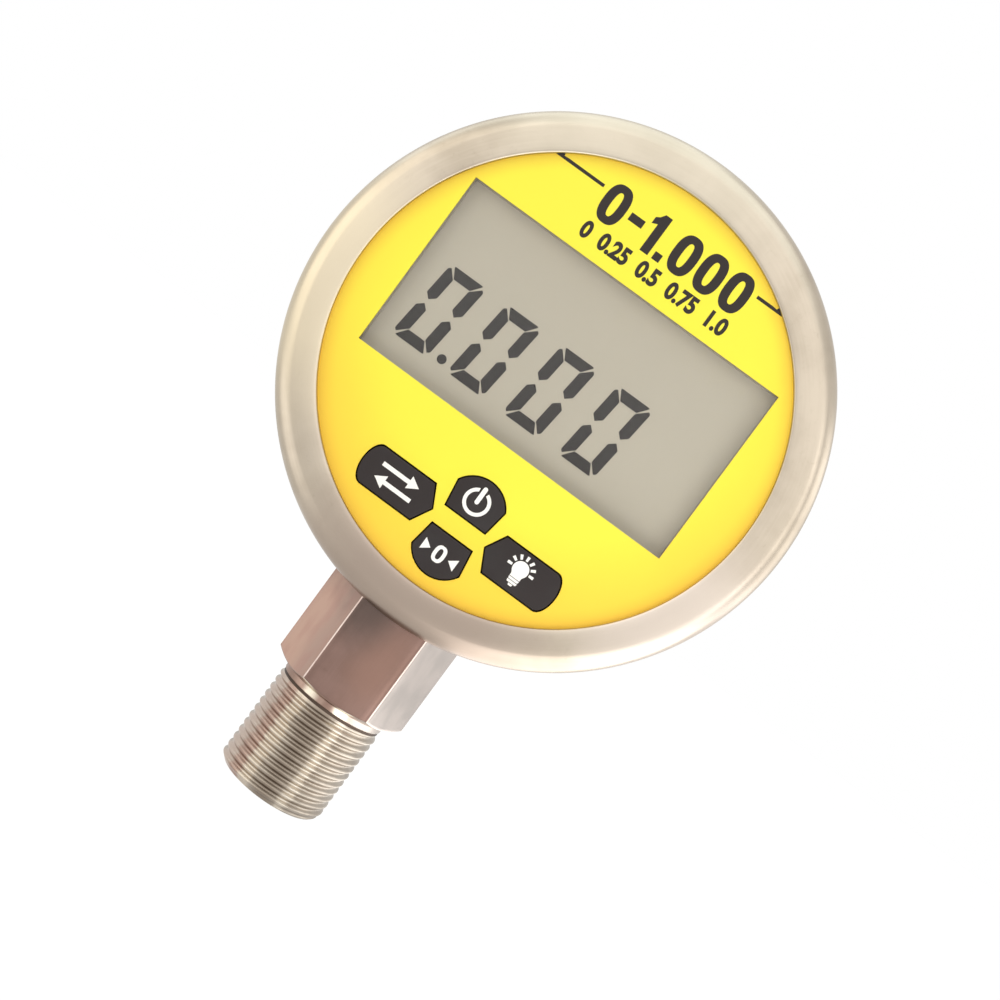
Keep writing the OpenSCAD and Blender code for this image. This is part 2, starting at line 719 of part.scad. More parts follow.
// Drawn steel drum with the stem's pad, the plate's ledge and the screw bosses
module case_shell() {
    back_in = case_back - case_wall;
    color([0.76, 0.72, 0.67]) difference() {
        union() {
            turned() polygon(concat(
                [[case_in, case_front], [case_r, case_front]],
                arc([case_r - case_round, case_back - case_round], case_round, 0, 90, 6),
                [[service_d / 2, case_back], [service_d / 2, back_in], [case_in, back_in],
                    [case_in, plate_back + ledge_t], [case_in - ledge_w, plate_back + ledge_t],
                    [case_in - ledge_w, plate_back], [case_in, plate_back]]));
            translate([0, 0, pad_z]) cylinder(h = pad_t, d = pad_d, $fn = small_fn * 2);
            for (a = cover_screw_angles)
                rod(cover_pcd / 2 * [cos(a), sin(a)], back_in - boss_l, boss_l + case_wall / 2, boss_d);
        }
        translate([0, 0, pad_z - cut])
            cylinder(h = pad_t + 2 * cut, d = neck_d + 2 * seat_gap, $fn = small_fn * 2);
        for (a = cover_screw_angles)
            rod(cover_pcd / 2 * [cos(a), sin(a)], cover_screw_end - stack_gap, cover_screw_l,
                cover_screw_d + 2 * move_gap);
    }
}

module rear_gasket() {
    inner = cover_pcd / 2 - boss_d / 2;
    outer = case_r - case_round;
    color([0.13, 0.13, 0.13]) difference() {
        turned() translate([inner, case_back]) square([outer - inner, rear_gasket_t - stack_gap]);
        for (a = cover_screw_angles)
            rod(cover_pcd / 2 * [cos(a), sin(a)], case_back - cut, rear_gasket_t + 2 * cut,
                cover_screw_d + 2 * move_gap);
    }
}

// Pressed steel cover with a raised middle
module rear_cover() {
    r = case_r - case_round / 2;
    color([0.76, 0.72, 0.67]) difference() {
        turned() polygon([[0, cover_y + dish_l], [dish_d / 2 - dish_slope, cover_y + dish_l],
            [dish_d / 2, cover_y], [r, cover_y], [r, cover_y + cover_t - case_round / 2],
            [r - case_round / 2, cover_y + cover_t], [dish_d / 2, cover_y + cover_t],
            [dish_d / 2 - dish_slope, cover_y + cover_t + dish_l], [0, cover_y + cover_t + dish_l]]);
        for (a = cover_screw_angles) rod(cover_pcd / 2 * [cos(a), sin(a)], cover_y - cut,
            cover_t + 2 * cut, cover_screw_d + 2 * stack_gap);
    }
}

module cover_screws() {
    color([0.80, 0.79, 0.77]) for (a = cover_screw_angles)
        screw(cover_pcd / 2 * [cos(a), sin(a)], cover_y + cover_t + seat_gap, cover_screw_l,
            cover_screw_d, cover_head_d, cover_head_l);
}

// Stem turned from hexagon bar: thread blank, collar, hexagon and neck
module process_stem() {
    foot_slope = hex_foot_l / (hex_r - hex_foot_d / 2);
    color([0.68, 0.60, 0.53]) difference() {
        union() {
            rotate_extrude($fn = small_fn * 2) polygon([[0, 0],
                [thread_d / 2 - thread_chamfer, 0], [thread_d / 2, thread_chamfer],
                [thread_d / 2, thread_l], [collar_d / 2, thread_l],
                [collar_d / 2, shoulder_z + cut], [0, shoulder_z + cut]]);
            intersection() {
                translate([0, 0, shoulder_z]) rotate(hex_turn) cylinder(h = hex_l, r = hex_r, $fn = 6);
                rotate_extrude($fn = small_fn * 2) polygon([[0, shoulder_z], [hex_foot_d / 2, shoulder_z],
                    [hex_r + cut, shoulder_z + hex_foot_l + cut * foot_slope],
                    [hex_r + cut, hex_top - hex_head_l - cut / 2],
                    [hex_r - 2 * hex_head_l, hex_top], [0, hex_top]]);
            }
            translate([0, 0, hex_top - cut]) cylinder(h = neck_l + cut, d = neck_d, $fn = small_fn * 2);
        }
        translate([0, 0, -cut]) cylinder(h = chamber_z + 2 * cut, d = port_d, $fn = small_fn);
        translate([0, 0, chamber_z]) cylinder(h = chamber_l + cut, r = chamber_r, $fn = small_fn * 2);
    }
}

module stem_gasket() {
    color([0.14, 0.14, 0.14])
        ring_on_stem(hex_top, stem_gasket_t - seat_gap, hex_af - 2 * move_gap, neck_d + 2 * stack_gap);
}

// Round nut with four spanner slots
module stem_lock_nut() {
    color([0.74, 0.73, 0.71]) difference() {
        ring_on_stem(nut_z + seat_gap, nut_l, nut_d, neck_d + 2 * seat_gap);
        for (a = [45, 135, 225, 315]) rotate(a)
            translate([nut_d / 2, 0, nut_z + nut_l])
                cube([2 * nut_slot_l, nut_slot_w, 2 * nut_l + 2 * cut], center = true);
    }
}

module pressure_sensor() {
    color([0.78, 0.77, 0.74]) translate([0, 0, sensor_z + seat_gap]) {
        cylinder(h = sensor_l - seat_gap, d = sensor_d, $fn = small_fn * 2);
        cylinder(h = sensor_l + header_l, d = header_d, $fn = small_fn);
    }
}

module sensor_seal_ring() {
    color([0.12, 0.12, 0.12])
        ring_on_stem(seal_ring_z, seal_ring_t, sensor_d, sensor_d - 4 * seal_ring_t);
}

module sensor_retainer() {
    color([0.72, 0.70, 0.66]) ring_on_stem(retainer_z + seat_gap, retainer_l, sensor_d, retainer_bore);
}

// Leads from the sensor's header up to the board
module sensor_leads() {
    start_z = sensor_z + seat_gap + sensor_l + header_l;
    end_y = board_back + socket_l / 2 + seat_gap;
    end_z = dial_z + sensor_socket_place.y;
    bend_z = neck_top + 2 * lead_d;
    for (i = [-1, 0, 1]) let (x = 1.5 * lead_d * i)
        color(i == 0 ? [0.90, 0.90, 0.88] : [0.70, 0.15, 0.12]) tube([
            [x, 0, start_z], [x, 0, retainer_z + retainer_l], [x, 0, neck_top], [x, 0.5 * lead_d, bend_z],
            [x, lead_d, (bend_z + end_z) / 2], [x, lead_d, end_z - lead_d],
            [x, end_y + lead_d, end_z], [x, end_y, end_z]], lead_d);
}

bezel_ring();
front_seal();
face_overlay();
front_plate();
display_window();
lcd_panel();
contact_strips();
backlight_panel();
main_board();
board_chips();
lead_sockets();
key_switches();
mode_key();
power_key();
light_key();
tare_key();
mode_plunger();
power_plunger();
light_plunger();
tare_plunger();
board_spacers();
battery_tray();
tray_screws();
battery_cells();
contact_springs();
contact_plates();
battery_leads();
case_shell();
rear_gasket();
rear_cover();
cover_screws();
process_stem();
stem_gasket();
stem_lock_nut();
pressure_sensor();
sensor_seal_ring();
sensor_retainer();
sensor_leads();
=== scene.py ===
"""Digital pressure gauge, dressed: finishes, fine parts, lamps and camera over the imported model.

Sizes are in millimetres and colours are sRGB from 0 to 255, unless a name says otherwise. x points
right, y into the gauge and z up. The dial's centre is at x = 0, z = DIAL_Z, and a Spot on the dial
gives x and the height above that centre. A depth pair gives the y of a front and of a back.
"""
import logging
import math
from contextlib import contextmanager
from dataclasses import dataclass
from enum import Enum, IntEnum
from typing import Callable, Iterable, Iterator, Optional, Sequence, Union

import bmesh
import bpy
from bpy.types import Mesh, Object
from mathutils import Euler, Matrix, Vector


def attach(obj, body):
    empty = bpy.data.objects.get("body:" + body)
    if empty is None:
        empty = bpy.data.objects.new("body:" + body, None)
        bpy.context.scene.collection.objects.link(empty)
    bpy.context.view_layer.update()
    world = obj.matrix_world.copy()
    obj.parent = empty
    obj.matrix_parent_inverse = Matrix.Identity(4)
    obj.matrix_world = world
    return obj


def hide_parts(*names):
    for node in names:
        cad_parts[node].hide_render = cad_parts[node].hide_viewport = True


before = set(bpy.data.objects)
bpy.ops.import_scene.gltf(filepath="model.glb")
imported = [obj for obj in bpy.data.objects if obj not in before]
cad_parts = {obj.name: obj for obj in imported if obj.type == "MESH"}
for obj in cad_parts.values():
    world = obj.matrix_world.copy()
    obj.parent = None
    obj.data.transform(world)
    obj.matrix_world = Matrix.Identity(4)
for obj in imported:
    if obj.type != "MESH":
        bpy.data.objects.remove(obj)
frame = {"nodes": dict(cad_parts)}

LOG = logging.getLogger("gauge")
MM = 0.001
DIAL_Z = 81.5
DIAL_R = 40.0        # radius at which the grain turned about the dial is measured
STEM_R = 10.0        # the same about the stem
CELL_Z = 1.4         # height of the middle cell above the dial's centre
CELL_PITCH = 11.9    # distance between two cells
INK = 0.02           # thickness of print above what carries it
INK_SINK = 0.005     # and how far it reaches into that
NOUGHT_FORM = 0.78   # power that rounds a nought's box
NOUGHT_TOP = 0.86    # its stroke at the top and foot, as a share of that at the sides
WELD = 0.0015        # corners closer than this become one
SLIVER = 0.001       # shorter edges go
CAD_WELD = 0.002     # corners of a CAD copy closer than this become one
CAD_FLAT = 0.8       # degrees within which its faces become one
AXIS = 0.001         # radius that stands for the middle of a turned part
BODY = "gauge"

RGB = tuple[float, float, float]
Spot = tuple[float, float]
Place = tuple[float, float, float]
Value = Union["Sock", float, int, tuple]
DISPLAY_MID: Spot = (-0.5, 4.3)


def linear(colour: RGB) -> tuple[float, float, float, float]:
    """Turns an sRGB colour into a linear one with full alpha."""
    parts = [v / 255 for v in colour]
    return (*(v / 12.92 if v <= 0.04045 else ((v + 0.055) / 1.055) ** 2.4 for v in parts), 1.0)


def faded(colour: RGB, share: float, lift: float) -> tuple[float, float, float, float]:
    """Gives a linear colour weakened to a share of itself and lifted."""
    return (*(v * share + lift for v in linear(colour)[:3]), 1.0)


def polar(r: float, degrees: float, centre: Spot = (0, 0)) -> Spot:
    """Gives the point at a radius and an angle about a centre."""
    a = math.radians(degrees)
    return centre[0] + r * math.cos(a), centre[1] + r * math.sin(a)


def moved(outline: Iterable[Spot], at: Spot, way: int = 1) -> list[Spot]:
    """Moves an outline to a place on the dial.

    Args:
        outline: its corners about its own centre.
        at: the place.
        way: 1 as it is, or -1 mirrored from left to right.

    Returns:
        The corners there.
    """
    return [(at[0] + way * x, at[1] + z) for x, z in outline]


def printed(surface: float, ink: float = INK) -> Spot:
    """Gives the depths of ink that stands on a surface and reaches a little into it."""
    return surface - ink, surface + INK_SINK


# Node expressions


def arithmetic(operation: str, swapped: bool = False) -> Callable[["Sock", Value], "Sock"]:
    """Makes a method that adds one Math node.

    Args:
        operation: Blender's name of the operation.
        swapped: True where the other value comes first.

    Returns:
        The method.
    """
    def method(self: "Sock", value: Value) -> "Sock":
        """Adds the node on this socket and a value."""
        first, second = (value, self) if swapped else (self, value)
        return self.net.node("ShaderNodeMath", {"operation": operation}, {0: first, 1: second})
    return method


class Sock:
    """An output socket whose arithmetic adds Math nodes."""

    def __init__(self, net: "Net", socket: Optional[bpy.types.NodeSocket]) -> None:
        """Keeps the net and the socket."""
        self.net, self.socket = net, socket

    __add__ = __radd__ = arithmetic("ADD")
    __sub__, __rsub__ = arithmetic("SUBTRACT"), arithmetic("SUBTRACT", swapped=True)
    __mul__ = __rmul__ = arithmetic("MULTIPLY")
    __truediv__, __rtruediv__ = arithmetic("DIVIDE"), arithmetic("DIVIDE", swapped=True)
    __pow__ = arithmetic("POWER")
    low, high = arithmetic("MINIMUM"), arithmetic("MAXIMUM")

    def other(self, name: str) -> "Sock":
        """Gives another output of the same node."""
        return Sock(self.net, self.socket.node.outputs[name])

    def math(self, operation: str, *others: Value) -> "Sock":
        """Adds one Math node on this socket and other values."""
        return self.net.node("ShaderNodeMath", {"operation": operation},
                             dict(enumerate((self, *others))))

    def size(self) -> "Sock":
        """Gives the value without its sign."""
        return self.math("ABSOLUTE")

    def clipped(self) -> "Sock":
        """Keeps the value between 0 and 1."""
        return self.high(0.0).low(1.0)

    def swing(self, reach: float) -> "Sock":
        """Turns noise from 0 to 1 into a value that swings about 0."""
        return (self - 0.5) * reach

    def rise(self, start: float, end: float) -> "Sock":
        """Rises smoothly from 0 at start to 1 at end, which may be lower than start."""
        return self.net.node("ShaderNodeMapRange", {"interpolation_type": "SMOOTHSTEP"},
                             {"Value": self, "From Min": start, "From Max": end})


def span(side: Sock, up: Sock) -> Sock:
    """Gives the length of a line from its two parts."""
    return (side * side + up * up) ** 0.5


class Net:
    """A node tree that is filled by expressions."""

    def __init__(self, tree: bpy.types.NodeTree) -> None:
        """Keeps the tree."""
        self.tree = tree

    @classmethod
    def fresh(cls, owner: Union[bpy.types.Material, bpy.types.World]) -> "Net":
        """Gives the node tree of a material or a world, emptied."""
        owner.use_nodes = True
        owner.node_tree.nodes.clear()
        return cls(owner.node_tree)

    def node(self, kind: str, settings: Optional[dict] = None, sockets: Optional[dict] = None,
             out: Union[int, str] = 0) -> Sock:
        """Adds any node.

        Args:
            kind: Blender's type of the node.
            settings: properties, set first.
            sockets: values or links by socket name or number.
            out: the output that is given back.

        Returns:
            The output, or an empty one where the node has none.
        """
        made = self.tree.nodes.new(kind)
        for name, value in (settings or {}).items():
            setattr(made, name, value)
        for name, value in (sockets or {}).items():
            if isinstance(value, Sock):
                self.tree.links.new(value.socket, made.inputs[name])
            else:
                made.inputs[name].default_value = value
        return Sock(self, made.outputs[out] if len(made.outputs) else None)

    def point(self) -> Sock:
        """Gives the object's own coordinates in millimetres."""
        place = self.node("ShaderNodeTexCoord", out="Object")
        return self.node("ShaderNodeVectorMath", {"operation": "SCALE"},
                         {0: place, "Scale": 1 / MM})

    def split(self, vector: Sock) -> tuple[Sock, Sock, Sock]:
        """Splits a vector into x, y and z."""
        x = self.node("ShaderNodeSeparateXYZ", None, {0: vector})
        return x, x.other("Y"), x.other("Z")

    def join(self, x: Value, y: Value, z: Value) -> Sock:
        """Joins x, y and z into a vector."""
        return self.node("ShaderNodeCombineXYZ", None, {0: x, 1: y, 2: z})

    def noise(self, vector: Sock, scale: float, detail: float = 2.0, rough: float = 0.5) -> Sock:
        """Gives soft noise from 0 to 1.

        Args:
            vector: where it is read, in millimetres.
            scale: cells per millimetre.
            detail: octaves.
            rough: share of each finer octave.

        Returns:
            The noise.
        """
        return self.node("ShaderNodeTexNoise", None,
                         {"Vector": vector, "Scale": scale, "Detail": detail, "Roughness": rough})

    def mix(self, factor: Value, first: Union[Sock, tuple], second: Union[Sock, tuple]) -> Sock:
        """Mixes two colours.

        Args:
            factor: 0 for the first colour to 1 for the second.
            first: a socket, an sRGB colour, or a linear one with alpha.
            second: the same.

        Returns:
            The mixed colour.
        """
        ends = [linear(c) if isinstance(c, tuple) and len(c) == 3 else c for c in (first, second)]
        return self.node("ShaderNodeMix", {"data_type": "RGBA"},
                         {0: factor, 6: ends[0], 7: ends[1]}, 2)

    def bump(self, height: Sock, depth: float, strength: float) -> Sock:
        """Turns a height from 0 to 1 into a normal.

        Args:
            height: the height.
            depth: how many millimetres 1 stands for.
            strength: share of the effect.

        Returns:
            The normal.
        """
        return self.node("ShaderNodeBump", None,
                         {"Height": height, "Distance": depth * MM, "Strength": strength})


# Finishes


class Grain(Enum):
    """How a metal's fine lines run."""

    DIAL = "turned about the dial's axis"
    STEM = "turned about the stem's axis"
    UPRIGHT = "drawn along the stem"
    ACROSS = "brushed from side to side"
    NONE = "no lines"


@dataclass(frozen=True)
class Finish:
    """A finish with its own material."""

    name: str
    colour: RGB
    rough: float = 0.5

    def material(self) -> bpy.types.Material:
        """Gives the finish's material, which is built once."""
        label = "finish " + self.name
        made = bpy.data.materials.get(label)
        if made is None:
            made = bpy.data.materials.new(label)
            made.diffuse_color = linear(self.colour)
            net = Net.fresh(made)
            net.node("ShaderNodeOutputMaterial", None, {"Surface": self.surface(net, net.point())})
        return made

    def surface(self, net: Net, point: Sock) -> Sock:
        """Gives the finish's shader."""
        return net.node("ShaderNodeBsdfPrincipled", None, self.look(net, point))

    def look(self, net: Net, point: Sock) -> dict:
        """Gives the shader's sockets.

        Args:
            net: the material's nodes.
            point: the place on the surface in millimetres.

        Returns:
            Values or links by socket name.
        """
        raise NotImplementedError(self.name)


@dataclass(frozen=True)
class Steel(Finish):
    """Machined, brushed or turned metal."""

    shade: RGB = (150, 146, 140)
    grain: Grain = Grain.NONE
    line: float = 0.12
    stretch: float = 0.035
    cloud: float = 7.0
    relief: float = 0.004

    def grain_point(self, net: Net, point: Sock) -> Sock:
        """Gives the coordinates in which the metal's lines are round dots."""
        x, y, z = net.split(point)
        fine, long = 1 / self.line, self.stretch / self.line
        if self.grain is Grain.DIAL:
            up = z - DIAL_Z
            return net.join(span(x, up) * fine, up.math("ARCTAN2", x) * DIAL_R * long, y * fine)
        if self.grain is Grain.STEM:
            return net.join(span(x, y) * fine, y.math("ARCTAN2", x) * STEM_R * long, z * fine)
        return net.join(x * (long if self.grain is Grain.ACROSS else fine), y * fine,
                        z * (long if self.grain is Grain.UPRIGHT else fine))

    def look(self, net: Net, point: Sock) -> dict:
        """Gives the shader's sockets: bright metal with clouds, fine lines and small marks."""
        lines = net.noise(self.grain_point(net, point), 1.0, 3.0, 0.6)
        clouds = net.noise(point, 1 / self.cloud, 3.0, 0.55)
        marks = net.noise(point, 0.9, 4.0, 0.65)
        mask = clouds.rise(0.3, 0.75) * 0.75 + lines.swing(0.5) + marks.rise(0.56, 0.8) * 0.35
        return {"Base Color": net.mix(mask.clipped(), self.colour, self.shade),
                "Metallic": 1.0,
                "Roughness": lines.swing(0.16) + clouds.swing(0.14) + self.rough,
                "Normal": net.bump(lines, self.relief, 0.7)}


@dataclass(frozen=True)
class PaintedPatch:
    """Soft patch of painted reflection and painted shade on the hexagon's front: its centre's x and
    z, half its width and height, where it ends in shares of these, how far it wanders, and its
    colour."""

    at: Spot
    half: Spot
    reach: float
    wander: float
    colour: RGB


@dataclass(frozen=True)
class ReflectionPaintedSteel(Steel):
    """Steel of the hexagon with painted reflections: browner on its front, a painted highlight at
    its outer left, greyer on its right and back; painted shade darkens it towards the case.
    """

    # left, right and their mottles are painted reflection tones of the facets; left_highlight is a
    # painted highlight at the outer left, over rim in x
    left: RGB = (171, 143, 129)
    left_highlight: RGB = (190, 156, 138)
    left_mottle: RGB = (172, 130, 118)
    right: RGB = (181, 171, 164)
    right_mottle: RGB = (158, 151, 145)
    # top is painted shade under the bezel, laid over bezel_shade_at in z
    top: RGB = (86, 75, 70)
    # The first patch is a painted reddish reflection at mid right; the second is painted shade
    # under the bezel at the top left.
    painted_patches: tuple[PaintedPatch, ...] = (PaintedPatch((3.2, 28.5), (5.0, 9.0), 1.3, 0.3, (134, 105, 93)),
                               PaintedPatch((-3.4, 36.8), (5.0, 7.0), 1.6, 0.4, (86, 75, 70)))
    core: float = 0.2
    edges: Spot = (-5.4, 7.2)
    soft: float = 0.3
    rim: Spot = (-10.5, -6.0)
    bezel_shade_at: Spot = (31.0, 38.0)
    back: Spot = (-1.0, 3.0)

    def look(self, net: Net, point: Sock) -> dict:
        """Gives the shader's sockets: drawn steel whose painted reflection changes round the stem.
        """
        sockets = super().look(net, point)
        x, y, z = net.split(point)
        wave = net.noise(point, 0.22, 3.0).swing(6.0)
        streak = net.noise(net.join(x * 0.5, 0.0, z * 0.14), 1.0, 2.0)
        front = sockets["Base Color"]
        # Painted patches of reflection and shade on the front.
        for painted_patch in self.painted_patches:
            side = (x + wave * painted_patch.wander - painted_patch.at[0]) / painted_patch.half[0]
            up = (z + wave - painted_patch.at[1]) / painted_patch.half[1]
            front = net.mix(span(side, up).rise(painted_patch.reach, self.core) * 0.8, front, painted_patch.colour)
        # Painted highlight at the outer left, painted reflection tone further in.
        turned = net.mix((x + wave * 0.3).rise(*self.rim), self.left_highlight, self.left)
        mottled = net.mix(streak.rise(0.4, 0.65) * 0.35, turned, self.left_mottle)
        # Painted shade: darker towards the case, under the bezel.
        pale = net.mix((z + wave).rise(*self.bezel_shade_at) * 0.35, mottled, self.top)
        grey = net.mix(streak.rise(0.42, 0.66) * 0.5, self.right, self.right_mottle)
        left, right = self.edges
        first = net.mix(x.rise(left + self.soft, left - self.soft), front, pale)
        second = net.mix(x.rise(right - self.soft, right + self.soft), first, grey)
        return {**sockets, "Base Color": net.mix(y.rise(*self.back), second, grey)}


@dataclass(frozen=True)
class PaintedBand:
    """Soft band of painted reflection on a turned part, darker for dark surroundings and paler for
    a highlight: the angle of its middle, the half-widths where it ends and where it is full, its
    colour, and how much of that shows."""

    at: float
    reach: float
    full: float
    colour: RGB
    share: float = 0.85


@dataclass(frozen=True)
class ReflectionBandSteel(Steel):
    """Turned steel with soft bands of painted reflection and painted highlight round it, as the
    photograph shows them.
    """

    painted_bands: tuple[PaintedBand, ...] = ()
    wander: float = 0.3

    def look(self, net: Net, point: Sock) -> dict:
        """Gives the shader's sockets: turned steel with its bands of painted reflection."""
        sockets = super().look(net, point)
        x, y, z = net.split(point)
        across = z - DIAL_Z if self.grain is Grain.DIAL else y
        angle = across.math("ARCTAN2", x) * math.degrees(1)
        angle = angle + net.noise(point, self.wander, 2.0).swing(12.0)
        for band in self.painted_bands:
            # Each band paints a reflection: darker bands stand for dark surroundings, paler ones
            # for highlights.
            off = (angle - band.at).math("PINGPONG", 180.0)
            sockets["Base Color"] = net.mix(off.rise(band.reach, band.full) * band.share,
                                            sockets["Base Color"], band.colour)
        return sockets


@dataclass(frozen=True)
class Film(Finish):
    """Printed film on the face, with painted shade that deepens its tone towards the rim and most
    along the lip.
    """

    # rim and lip are painted shade colours: rim over a broad off-centre ring, lip along the bezel's
    # lip
    rim: RGB = (249, 207, 70)
    lip: RGB = (234, 180, 62)
    centre: Spot = (-2.2, 7.8)
    rim_shade_at: Spot = (27.0, 44.5)
    lip_shade_at: Spot = (34.5, 38.4)

    def look(self, net: Net, point: Sock) -> dict:
        """Gives the shader's sockets: printed colour under a satin film, with painted shade at the
        rim and lip.
        """
        x, _, z = net.split(point)
        up = z - DIAL_Z
        drift = net.noise(point, 0.06, 2.0).swing(4.0)
        dots = net.noise(point, 7.0, 2.0)
        weave = net.noise(point, 1.6, 3.0)
        # Painted shade: the film darkens towards the rim about an off-centre point, and more along
        # the lip.
        far = span(x - self.centre[0], up - self.centre[1]) + drift
        rim_shade = (far.rise(*self.rim_shade_at) + dots.swing(0.05)).high(0.0)
        edge = (span(x, up) + drift * 0.3).rise(*self.lip_shade_at) * 0.7
        return {"Base Color": net.mix(edge, net.mix(rim_shade, self.colour, self.rim), self.lip),
                "Roughness": weave.swing(0.12) + self.rough,
                "Specular IOR Level": 0.2,
                "Normal": net.bump(dots, 0.006, 0.5)}


@dataclass(frozen=True)
class Print(Finish):
    """Screen-printed ink."""

    def look(self, net: Net, point: Sock) -> dict:
        """Gives the shader's sockets: an even ink with faint pinholes."""
        holes = net.noise(point, 14.0, 2.0)
        thin = faded(self.colour, 0.9, 0.008)
        return {"Base Color": net.mix(holes.rise(0.5, 0.8), self.colour, thin),
                "Roughness": holes.swing(0.1) + self.rough,
                "Specular IOR Level": 0.15,
                "Normal": net.bump(holes, 0.003, 0.5)}


@dataclass(frozen=True)
class Moulded(Finish):
    """Moulded plastic with a fine eroded texture."""

    texture: float = 5.0
    depth: float = 0.012
    gloss: float = 0.4

    def look(self, net: Net, point: Sock) -> dict:
        """Gives the shader's sockets: even colour, fine eroded texture and faint flow lines."""
        pits = net.node("ShaderNodeTexVoronoi", {"feature": "SMOOTH_F1"},
                        {"Vector": point, "Scale": self.texture, "Smoothness": 0.6})
        flow = net.noise(point, 0.12, 3.0)
        pale = faded(self.colour, 0.8, 0.012)
        return {"Base Color": net.mix(flow.rise(0.4, 0.75), self.colour, pale),
                "Roughness": flow.swing(0.15) + self.rough,
                "Specular IOR Level": self.gloss,
                "Normal": net.bump(pits, self.depth, 0.6)}


@dataclass(frozen=True)
class FramedPlate(Moulded):
    """Black moulding whose window frame is pale like the display behind it."""

    frame: RGB = (170, 160, 148)
    half: Spot = (30.2, 16.4)
    frame_back: float = -12.4

    def look(self, net: Net, point: Sock) -> dict:
        """Gives the shader's sockets: black plastic with pale walls round the window."""
        sockets = super().look(net, point)
        x, y, z = net.split(point)
        wide = (x - DISPLAY_MID[0]).size().math("LESS_THAN", self.half[0])
        tall = (z - (DIAL_Z + DISPLAY_MID[1])).size().math("LESS_THAN", self.half[1])
        inside = wide * tall * y.math("LESS_THAN", self.frame_back)
        return {**sockets, "Base Color": net.mix(inside, sockets["Base Color"], self.frame)}


@dataclass(frozen=True)
class Rubber(Finish):
    """Matt rubber with a dusty bloom."""

    def look(self, net: Net, point: Sock) -> dict:
        """Gives the shader's sockets: dull colour with bloom and grit."""
        bloom = net.noise(point, 0.35, 4.0, 0.6)
        grit = net.noise(point, 12.0, 2.0)
        dusty = faded(self.colour, 0.7, 0.03)
        return {"Base Color": net.mix(bloom.rise(0.45, 0.85), self.colour, dusty),
                "Roughness": bloom * 0.15 + self.rough,
                "Specular IOR Level": 0.3,
                "Normal": net.bump(grit, 0.015, 0.7)}


@dataclass(frozen=True)
class DisplayGlass(Finish):
    """Reflective liquid crystal glass: a soft grey with a faint grain, with painted light that
    pales it towards the window's edges.
    """

    # edge is painted light for the window's border, where the recess casts shade; it also carries
    # the slow drift
    edge: RGB = (190, 181, 167)
    sides: Spot = (25.0, 29.6)
    ends: Spot = (11.5, 15.8)

    def look(self, net: Net, point: Sock) -> dict:
        """Gives the shader's sockets: grey reflector seen through a polariser."""
        x, _, z = net.split(point)
        side = (x - DISPLAY_MID[0]).size().rise(*self.sides)
        end = (z - (DIAL_Z + DISPLAY_MID[1])).size().rise(*self.ends)
        drift = net.noise(point, 0.045, 2.0)
        grain = net.noise(point, 11.0, 2.0)
        # Painted light: paler towards the window's edges, against the recess's shade.
        mask = side.high(end) * 0.55 + drift.swing(0.5) + grain.swing(0.12)
        return {"Base Color": net.mix(mask.high(0.0), self.colour, self.edge),
                "Roughness": drift.swing(0.1) + self.rough,
                "Specular IOR Level": 0.25,
                "Normal": net.bump(grain, 0.002, 0.4)}


@dataclass(frozen=True)
class ClearPane(Finish):
    """Clear pane with a thin hard coat: what is behind shows, and its face takes a soft gloss."""

    bright: RGB = (250, 250, 248)
    passed: tuple[float, float, float, float] = (0.985, 0.985, 0.98, 1.0)

    def surface(self, net: Net, point: Sock) -> Sock:
        """Gives the pane's shader: see-through, with a gloss that grows to grazing."""
        haze = net.noise(point, 0.15, 3.0)
        gloss = net.node("ShaderNodeBsdfPrincipled", None, {
            "Base Color": net.mix(haze, self.colour, self.bright), "Metallic": 1.0,
            "Roughness": haze * 0.06 + self.rough, "Normal": net.bump(haze, 0.02, 0.3)})
        clear = net.node("ShaderNodeBsdfTransparent", None, {"Color": self.passed})
        facing = net.node("ShaderNodeLayerWeight", None, {"Blend": 0.5}, "Facing")
        share = facing ** 4.0 * 0.7 + 0.02
        return net.node("ShaderNodeMixShader", None, {0: share, 1: clear, 2: gloss})


@dataclass(frozen=True)
class Laminate(Finish):
    """Circuit board: lacquer over copper tracks."""

    deep: RGB = (16, 74, 48)
    track: RGB = (66, 142, 92)
    tin: RGB = (196, 192, 180)

    def look(self, net: Net, point: Sock) -> dict:
        """Gives the shader's sockets: green lacquer with raised tracks and tinned pads."""
        x, _, z = net.split(point)
        tracks = net.node("ShaderNodeTexBrick", {"offset": 0.37, "squash": 1.6}, {
            "Vector": net.join(x, z, 0.0), "Scale": 0.42, "Mortar Size": 0.045,
            "Mortar Smooth": 0.3, "Bias": 0.1}, "Fac")
        pads = net.node("ShaderNodeTexVoronoi", None, {"Vector": point, "Scale": 0.22},
                        "Distance").rise(0.16, 0.13)
        mottle = net.noise(point, 0.5, 3.0)
        tracked = net.mix(tracks * 0.55, net.mix(mottle, self.colour, self.deep), self.track)
        return {"Base Color": net.mix(pads, tracked, self.tin),
                "Metallic": pads * 0.9,
                "Roughness": mottle * 0.1 + self.rough,
                "Coat Weight": 0.3,
                "Normal": net.bump(tracks + pads, 0.03, 0.6)}


@dataclass(frozen=True)
class Insulation(Finish):
    """Lead insulation in two colours: the second one lies within a distance of an x."""

    second: RGB = (40, 38, 38)
    switch_x: float = 0.0
    half: float = 1.5
    worn: RGB = (140, 136, 130)

    def look(self, net: Net, point: Sock) -> dict:
        """Gives the shader's sockets: glossy insulation, its colour set by the lead's place."""
        x, _, _ = net.split(point)
        second = (x - self.switch_x).size().math("LESS_THAN", self.half)
        scuff = net.noise(point, 1.5, 4.0, 0.6)
        colour = net.mix(second, self.colour, self.second)
        return {"Base Color": net.mix(scuff.rise(0.55, 0.85) * 0.3, colour, self.worn),
                "Roughness": scuff * 0.2 + self.rough,
                "Normal": net.bump(scuff, 0.02, 0.4)}


